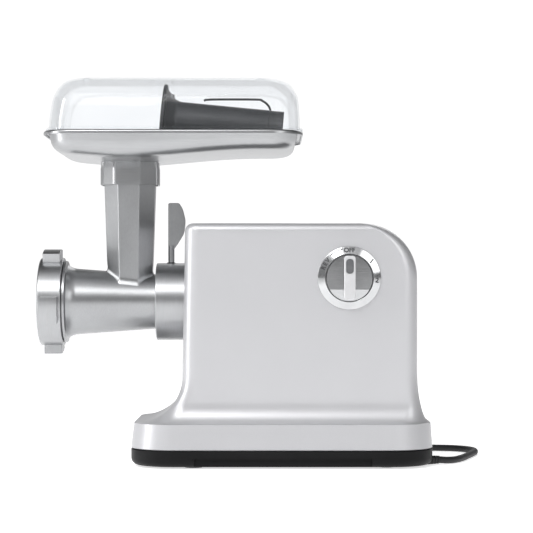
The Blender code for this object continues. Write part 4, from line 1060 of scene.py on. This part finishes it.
def dial_ring():
    outer, edge = BEZEL_RADIUS, 0.0005
    rim = RING_FACE + RING_FALL * (outer - edge - RING_INNER)
    profile = [
        (outer, -0.0753),
        *arc_profile((outer - edge, rim + edge), edge, 0, -72, 5),
        (RING_INNER, RING_FACE),
        *arc_profile((RING_INNER - 0.0001, RING_FACE + 0.0005), 0.0005, -90, -180, 4),
        (RING_INNER - 0.0006, -0.0753),
    ]
    ring = turned("dial_bezel_seen", profile, RING, "Y", (DIAL_X, 0, DIAL_Z), 144, ring=True)
    shown(ring, "housing", "dial_bezel")
    dial_mark("mark_off", "OFF", 90, 0, 0.0058)
    dial_mark("mark_one", "1", 37, -38, 0.0062)
    dial_mark("mark_two", "2", -5, -8, 0.0062)
    dial_mark("mark_r", "R", 159, 66, 0.0052)
    dial_mark("mark_e", "E", 150, 58, 0.0052)
    dial_mark("mark_v", "V", 141, 50, 0.0052)
    sweep = [math.radians(103 + 28 * k / 24) for k in range(25)]
    line = [(0.0273, angle) for angle in sweep] + [(0.0264, angle) for angle in reversed(sweep)]
    outline = [(DIAL_Z + r * math.sin(a), DIAL_X + r * math.cos(a)) for r, a in line]
    laid_on_ring(slab("mark_arc", [outline], -0.00005, 0.00005, INK_AND_GAP_SHADE, "Y"))


def speed_knob():
    disc = [(0, -0.0520), (0.0030, -0.0520), (0.0030, -0.0756)]
    disc += [(KNOB_RADIUS, -0.0756), *arc_profile((KNOB_RADIUS - 0.0005, -0.0799), 0.0005, 0, -90, 5)]
    disc += [(0, -0.0804)]
    knob = turned("speed_knob_seen", disc, KNOB, "Y", (DIAL_X, 0, DIAL_Z), 144)
    top, foot, slope = DIAL_Z - 0.0106, DIAL_Z - 0.030, 0.10
    facet = [(-0.0804, top), (-0.0900, top), (-0.0900, foot), (-0.0804 + slope * (top - foot), foot)]
    knob = cut(knob, slab("facet", [facet], DIAL_X - 0.03, DIAL_X + 0.03, KNOB))
    bar = slab("bar", [on_dial(-0.0200, 0.0200, 0.0052, 0.0030)], -0.0890, -0.0785, KNOB, "Y", 0.0009)
    pocket = slab("pointer_pocket", [on_dial(0.0035, 0.0172, 0.0036, 0.0030)], -0.0950, -0.0880, KNOB, "Y")
    knob = cut(joined(knob, bar), pocket)
    knob.data.materials.append(GRIP)
    knob.data.materials.append(INK_AND_GAP_SHADE)
    for face in knob.data.polygons:
        reach = math.hypot(face.center.x - DIAL_X, face.center.z - DIAL_Z)
        if face.center.y < -0.0808:
            face.material_index = 1
        # Painted shade: the knob's rim and its round front edge take the dark print finish, a dark ring
        # that stands for the shadow in the gap between knob and bezel.
        elif reach > KNOB_RADIUS - 0.0004:
            face.material_index = 2
    shown(knob, "dial", "speed_knob", angle=KNOB_SMOOTH_BELOW)
    outline = on_dial(0.0038, 0.0169, 0.0033, 0.0028)
    pointer = slab("knob_pointer_seen", [outline], -0.0893, -0.0883, POINTER, "Y", 0.0002)
    shown(pointer, "dial", "knob_pointer")


# ---------------- plug and strain relief


def plug():
    size = PLUG_SIZE / 2
    body = block("plug_body_seen", PLUG_AT - size, PLUG_AT + size, RUBBER, 0.008, 7)
    end = Vector(TAIL_ROUTE[-1])
    place = (end.x - 0.0240, PLUG_AT.y - 0.0008, end.z)
    neck = [(0, 0.0230), (0.0042, 0.0230)]
    for k in range(4):
        near = 0.0220 - 0.0045 * k
        radius = 0.0044 + 0.0004 * k
        neck += [(radius, near), (radius, near - 0.0026)]
        neck += [(radius - 0.0008, near - 0.0029), (radius - 0.0008, near - 0.0042)]
    neck += [(0.0060, 0.0040), (0.0060, 0.0), (0, 0)]
    body = joined(body, turned("neck", neck, RUBBER, "X", place, 48))
    grips = []
    for side in (-1, 1):
        for k in range(4):
            x = PLUG_AT.x - 0.004 + 0.0045 * k
            y = PLUG_AT.y + side * (size.y + 0.0001)
            low = (x, y - 0.0007, PLUG_AT.z - 0.0075)
            high = (x + 0.0016, y + 0.0007, PLUG_AT.z + 0.0075)
            grips.append(block("grip", low, high, RUBBER))
    plug_body = shown(cut(body, *grips), "housing", "plug_body")
    pieces = [plug_body]
    for i, side in enumerate((-0.0095, 0.0095), 1):
        root = PLUG_AT.x - size.x - GAP
        place = (0, PLUG_AT.y + side, PLUG_AT.z)
        profile = [(0, root), (0.0024, root), (0.0024, root - 0.0172)]
        profile += [(0.0018, root - 0.0184), (0.0009, root - 0.0189), (0, root - 0.0190)]
        pin = turned(f"plug_pin_{i}_seen", profile, BRASS, place=place, steps=48)
        pieces.append(shown(pin, "housing", f"plug_pin_{i}"))
    return pieces


def strain_relief():
    length = (RELIEF_END - RELIEF_START).length
    profile = [(0, length), (0.0036, length), (0.0037, length - 0.0004)]
    for k in range(4):
        top = length - 0.0022 - 0.0030 * k
        radius = 0.0038 + 0.00012 * k
        profile += [(radius, top), (radius - 0.0006, top - 0.0003)]
        profile += [(radius - 0.0006, top - 0.0011), (radius + 0.0001, top - 0.0014)]
    profile += [(0.0043, 0.0030), (0.0043, 0), (0, 0)]
    item = turned("strain_relief_seen", profile, RUBBER, "Z", (0, 0, 0), 48)
    item.data.transform(aimed(RELIEF_START, RELIEF_END))
    return shown(item, "housing", "strain_relief")


# ---------------- finishes of the pieces kept from the CAD part

KEPT = (
    (
        STEEL,
        "base_screw_1 base_screw_2 base_screw_3 base_screw_4 lay_axle motor_stator "
        "motor_bracket motor_bolt_1 motor_bolt_2 motor_shaft armature_core drive_shaft knife",
    ),
    (GREY, "gearbox_frame gearbox_cover rotary_switch mains_filter motor_fan"),
    (BRASS, "front_bearing rear_bearing output_bush brush_holder_1 brush_holder_2"),
    (COPPER, "field_coil_upper field_coil_lower commutator"),
    (NYLON, "lay_gear output_gear auger_washer"),
    (CAST, "auger"),
)


def dress_kept():
    for material, names in KEPT:
        for name in names.split():
            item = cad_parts[name]
            item.data.materials.clear()
            item.data.materials.append(material)


# ---------------- floor, room and light


def floor():
    work = bmesh.new()
    bmesh.ops.create_grid(work, x_segments=1, y_segments=1, size=FLOOR_SIZE)
    mesh = bpy.data.meshes.new("floor")
    work.to_mesh(mesh)
    work.free()
    material = new_material("floor")
    tree = material.node_tree
    shader = tree.nodes["Principled BSDF"]
    speck = grain(material, 60, detail=3.0)
    pale = coloured(material, speck, (0.90, 0.90, 0.905), (0.93, 0.93, 0.935))
    tree.links.new(pale, shader.inputs["Base Color"])
    shader.inputs["Roughness"].default_value = 0.9
    shader.inputs["Specular IOR Level"].default_value = 0.1
    shader.inputs["Emission Color"].default_value = (1, 1, 1, 1)
    shader.inputs["Emission Strength"].default_value = FLOOR_GLOW
    item = added("floor", mesh, material)
    item.location.z = -FLOOR_DROP


# Brightness round the room, by degrees up from level at the camera's side: floor, wall, softbox, dark back
ROOM_LEVELS = (
    (-180, 0.90),
    (-20, 0.90),
    (-1, 0.85),
    (0, 0.24),
    (26, 0.42),
    (38, 1.15),
    (74, 1.15),
    (82, 0.16),
    (138, 0.10),
    (152, 0.45),
    (180, 0.80),
)


def room():
    """A white room with a soft grey and dark pattern that only the reflections and the light see."""
    world = bpy.data.worlds.new("room")
    bpy.context.scene.world = world
    world.use_nodes = True
    tree = world.node_tree
    place = node(world, "ShaderNodeTexCoord").outputs["Generated"]
    parts = node(world, "ShaderNodeSeparateXYZ", {0: place})
    away = result(world, "ShaderNodeMath", {0: parts.outputs["Y"], 1: -1.0}, operation="MULTIPLY")
    angle = result(world, "ShaderNodeMath", {0: parts.outputs["Z"], 1: away}, operation="ARCTAN2")
    whole_turn = {"Value": angle, "From Min": -math.pi, "From Max": math.pi}
    share = result(world, "ShaderNodeMapRange", whole_turn)
    ramp = node(world, "ShaderNodeValToRGB", {"Fac": share})
    elements = ramp.color_ramp.elements
    while len(elements) < len(ROOM_LEVELS):
        elements.new(0.5)
    for element, (degrees, level) in zip(elements, ROOM_LEVELS):
        element.position = (degrees + 180) / 360
        element.color = (level, level, level * 1.01, 1)
    sides = {"Value": parts.outputs["X"], "From Min": -0.9, "From Max": 0.9, "To Min": 1.25, "To Max": 0.35}
    side = result(world, "ShaderNodeMapRange", sides)
    seen = node(world, "ShaderNodeLightPath").outputs["Is Camera Ray"]
    shade = {"Color": ramp.outputs["Color"], "Strength": side}
    pattern = result(world, "ShaderNodeBackground", shade)
    white = result(world, "ShaderNodeBackground", {"Color": (1, 1, 1, 1), "Strength": 1.05})
    whole = result(world, "ShaderNodeMixShader", {0: seen, 1: pattern, 2: white})
    tree.links.new(whole, tree.nodes["World Output"].inputs["Surface"])


# Lamps as (name, place, target, width, height, watts)
LIGHTS = (
    ("key", (-0.55, -1.15, 1.20), (0.02, 0.0, 0.15), 1.0, 0.55, 12.5),
    ("fill", (1.00, -1.30, 0.75), (0.06, 0.0, 0.14), 0.8, 0.8, 4.5),
    ("left_strip", (-1.30, -0.35, 0.45), (0.0, 0.0, 0.15), 0.35, 1.1, 6.0),
    ("rim", (0.35, 1.20, 0.95), (0.02, 0.0, 0.15), 1.0, 0.6, 3.0),
)


def light():
    for name, place, target, width, height, power in LIGHTS:
        data = bpy.data.lights.new(name, "AREA")
        data.shape = "RECTANGLE"
        data.size, data.size_y = width, height
        data.energy = power
        item = bpy.data.objects.new(name, data)
        item.location = place
        item.rotation_euler = (Vector(target) - Vector(place)).to_track_quat("-Z", "Y").to_euler()
        item.visible_camera = False
        bpy.context.scene.collection.objects.link(item)


housing()
base_pan()
hub_socket()
lock_lever()
grinder_head()
cutting_plate()
ring_nut()
tray()
lid()
horn("sausage_horn", 0.0330, 0.0180, 0.0168, 0.113, -0.0670, -0.0300, 0.3210, 0.3115)
horn("small_horn", 0.0320, 0.0232, 0.0205, 0.080, -0.0630, 0.0360, 0.3200, 0.3170)
accessory_bail()
dial_ring()
speed_knob()
on_cord = [*plug(), strain_relief()]
dress_kept()
floor()
room()
light()
bpy.context.scene.view_settings.view_transform = "Standard"
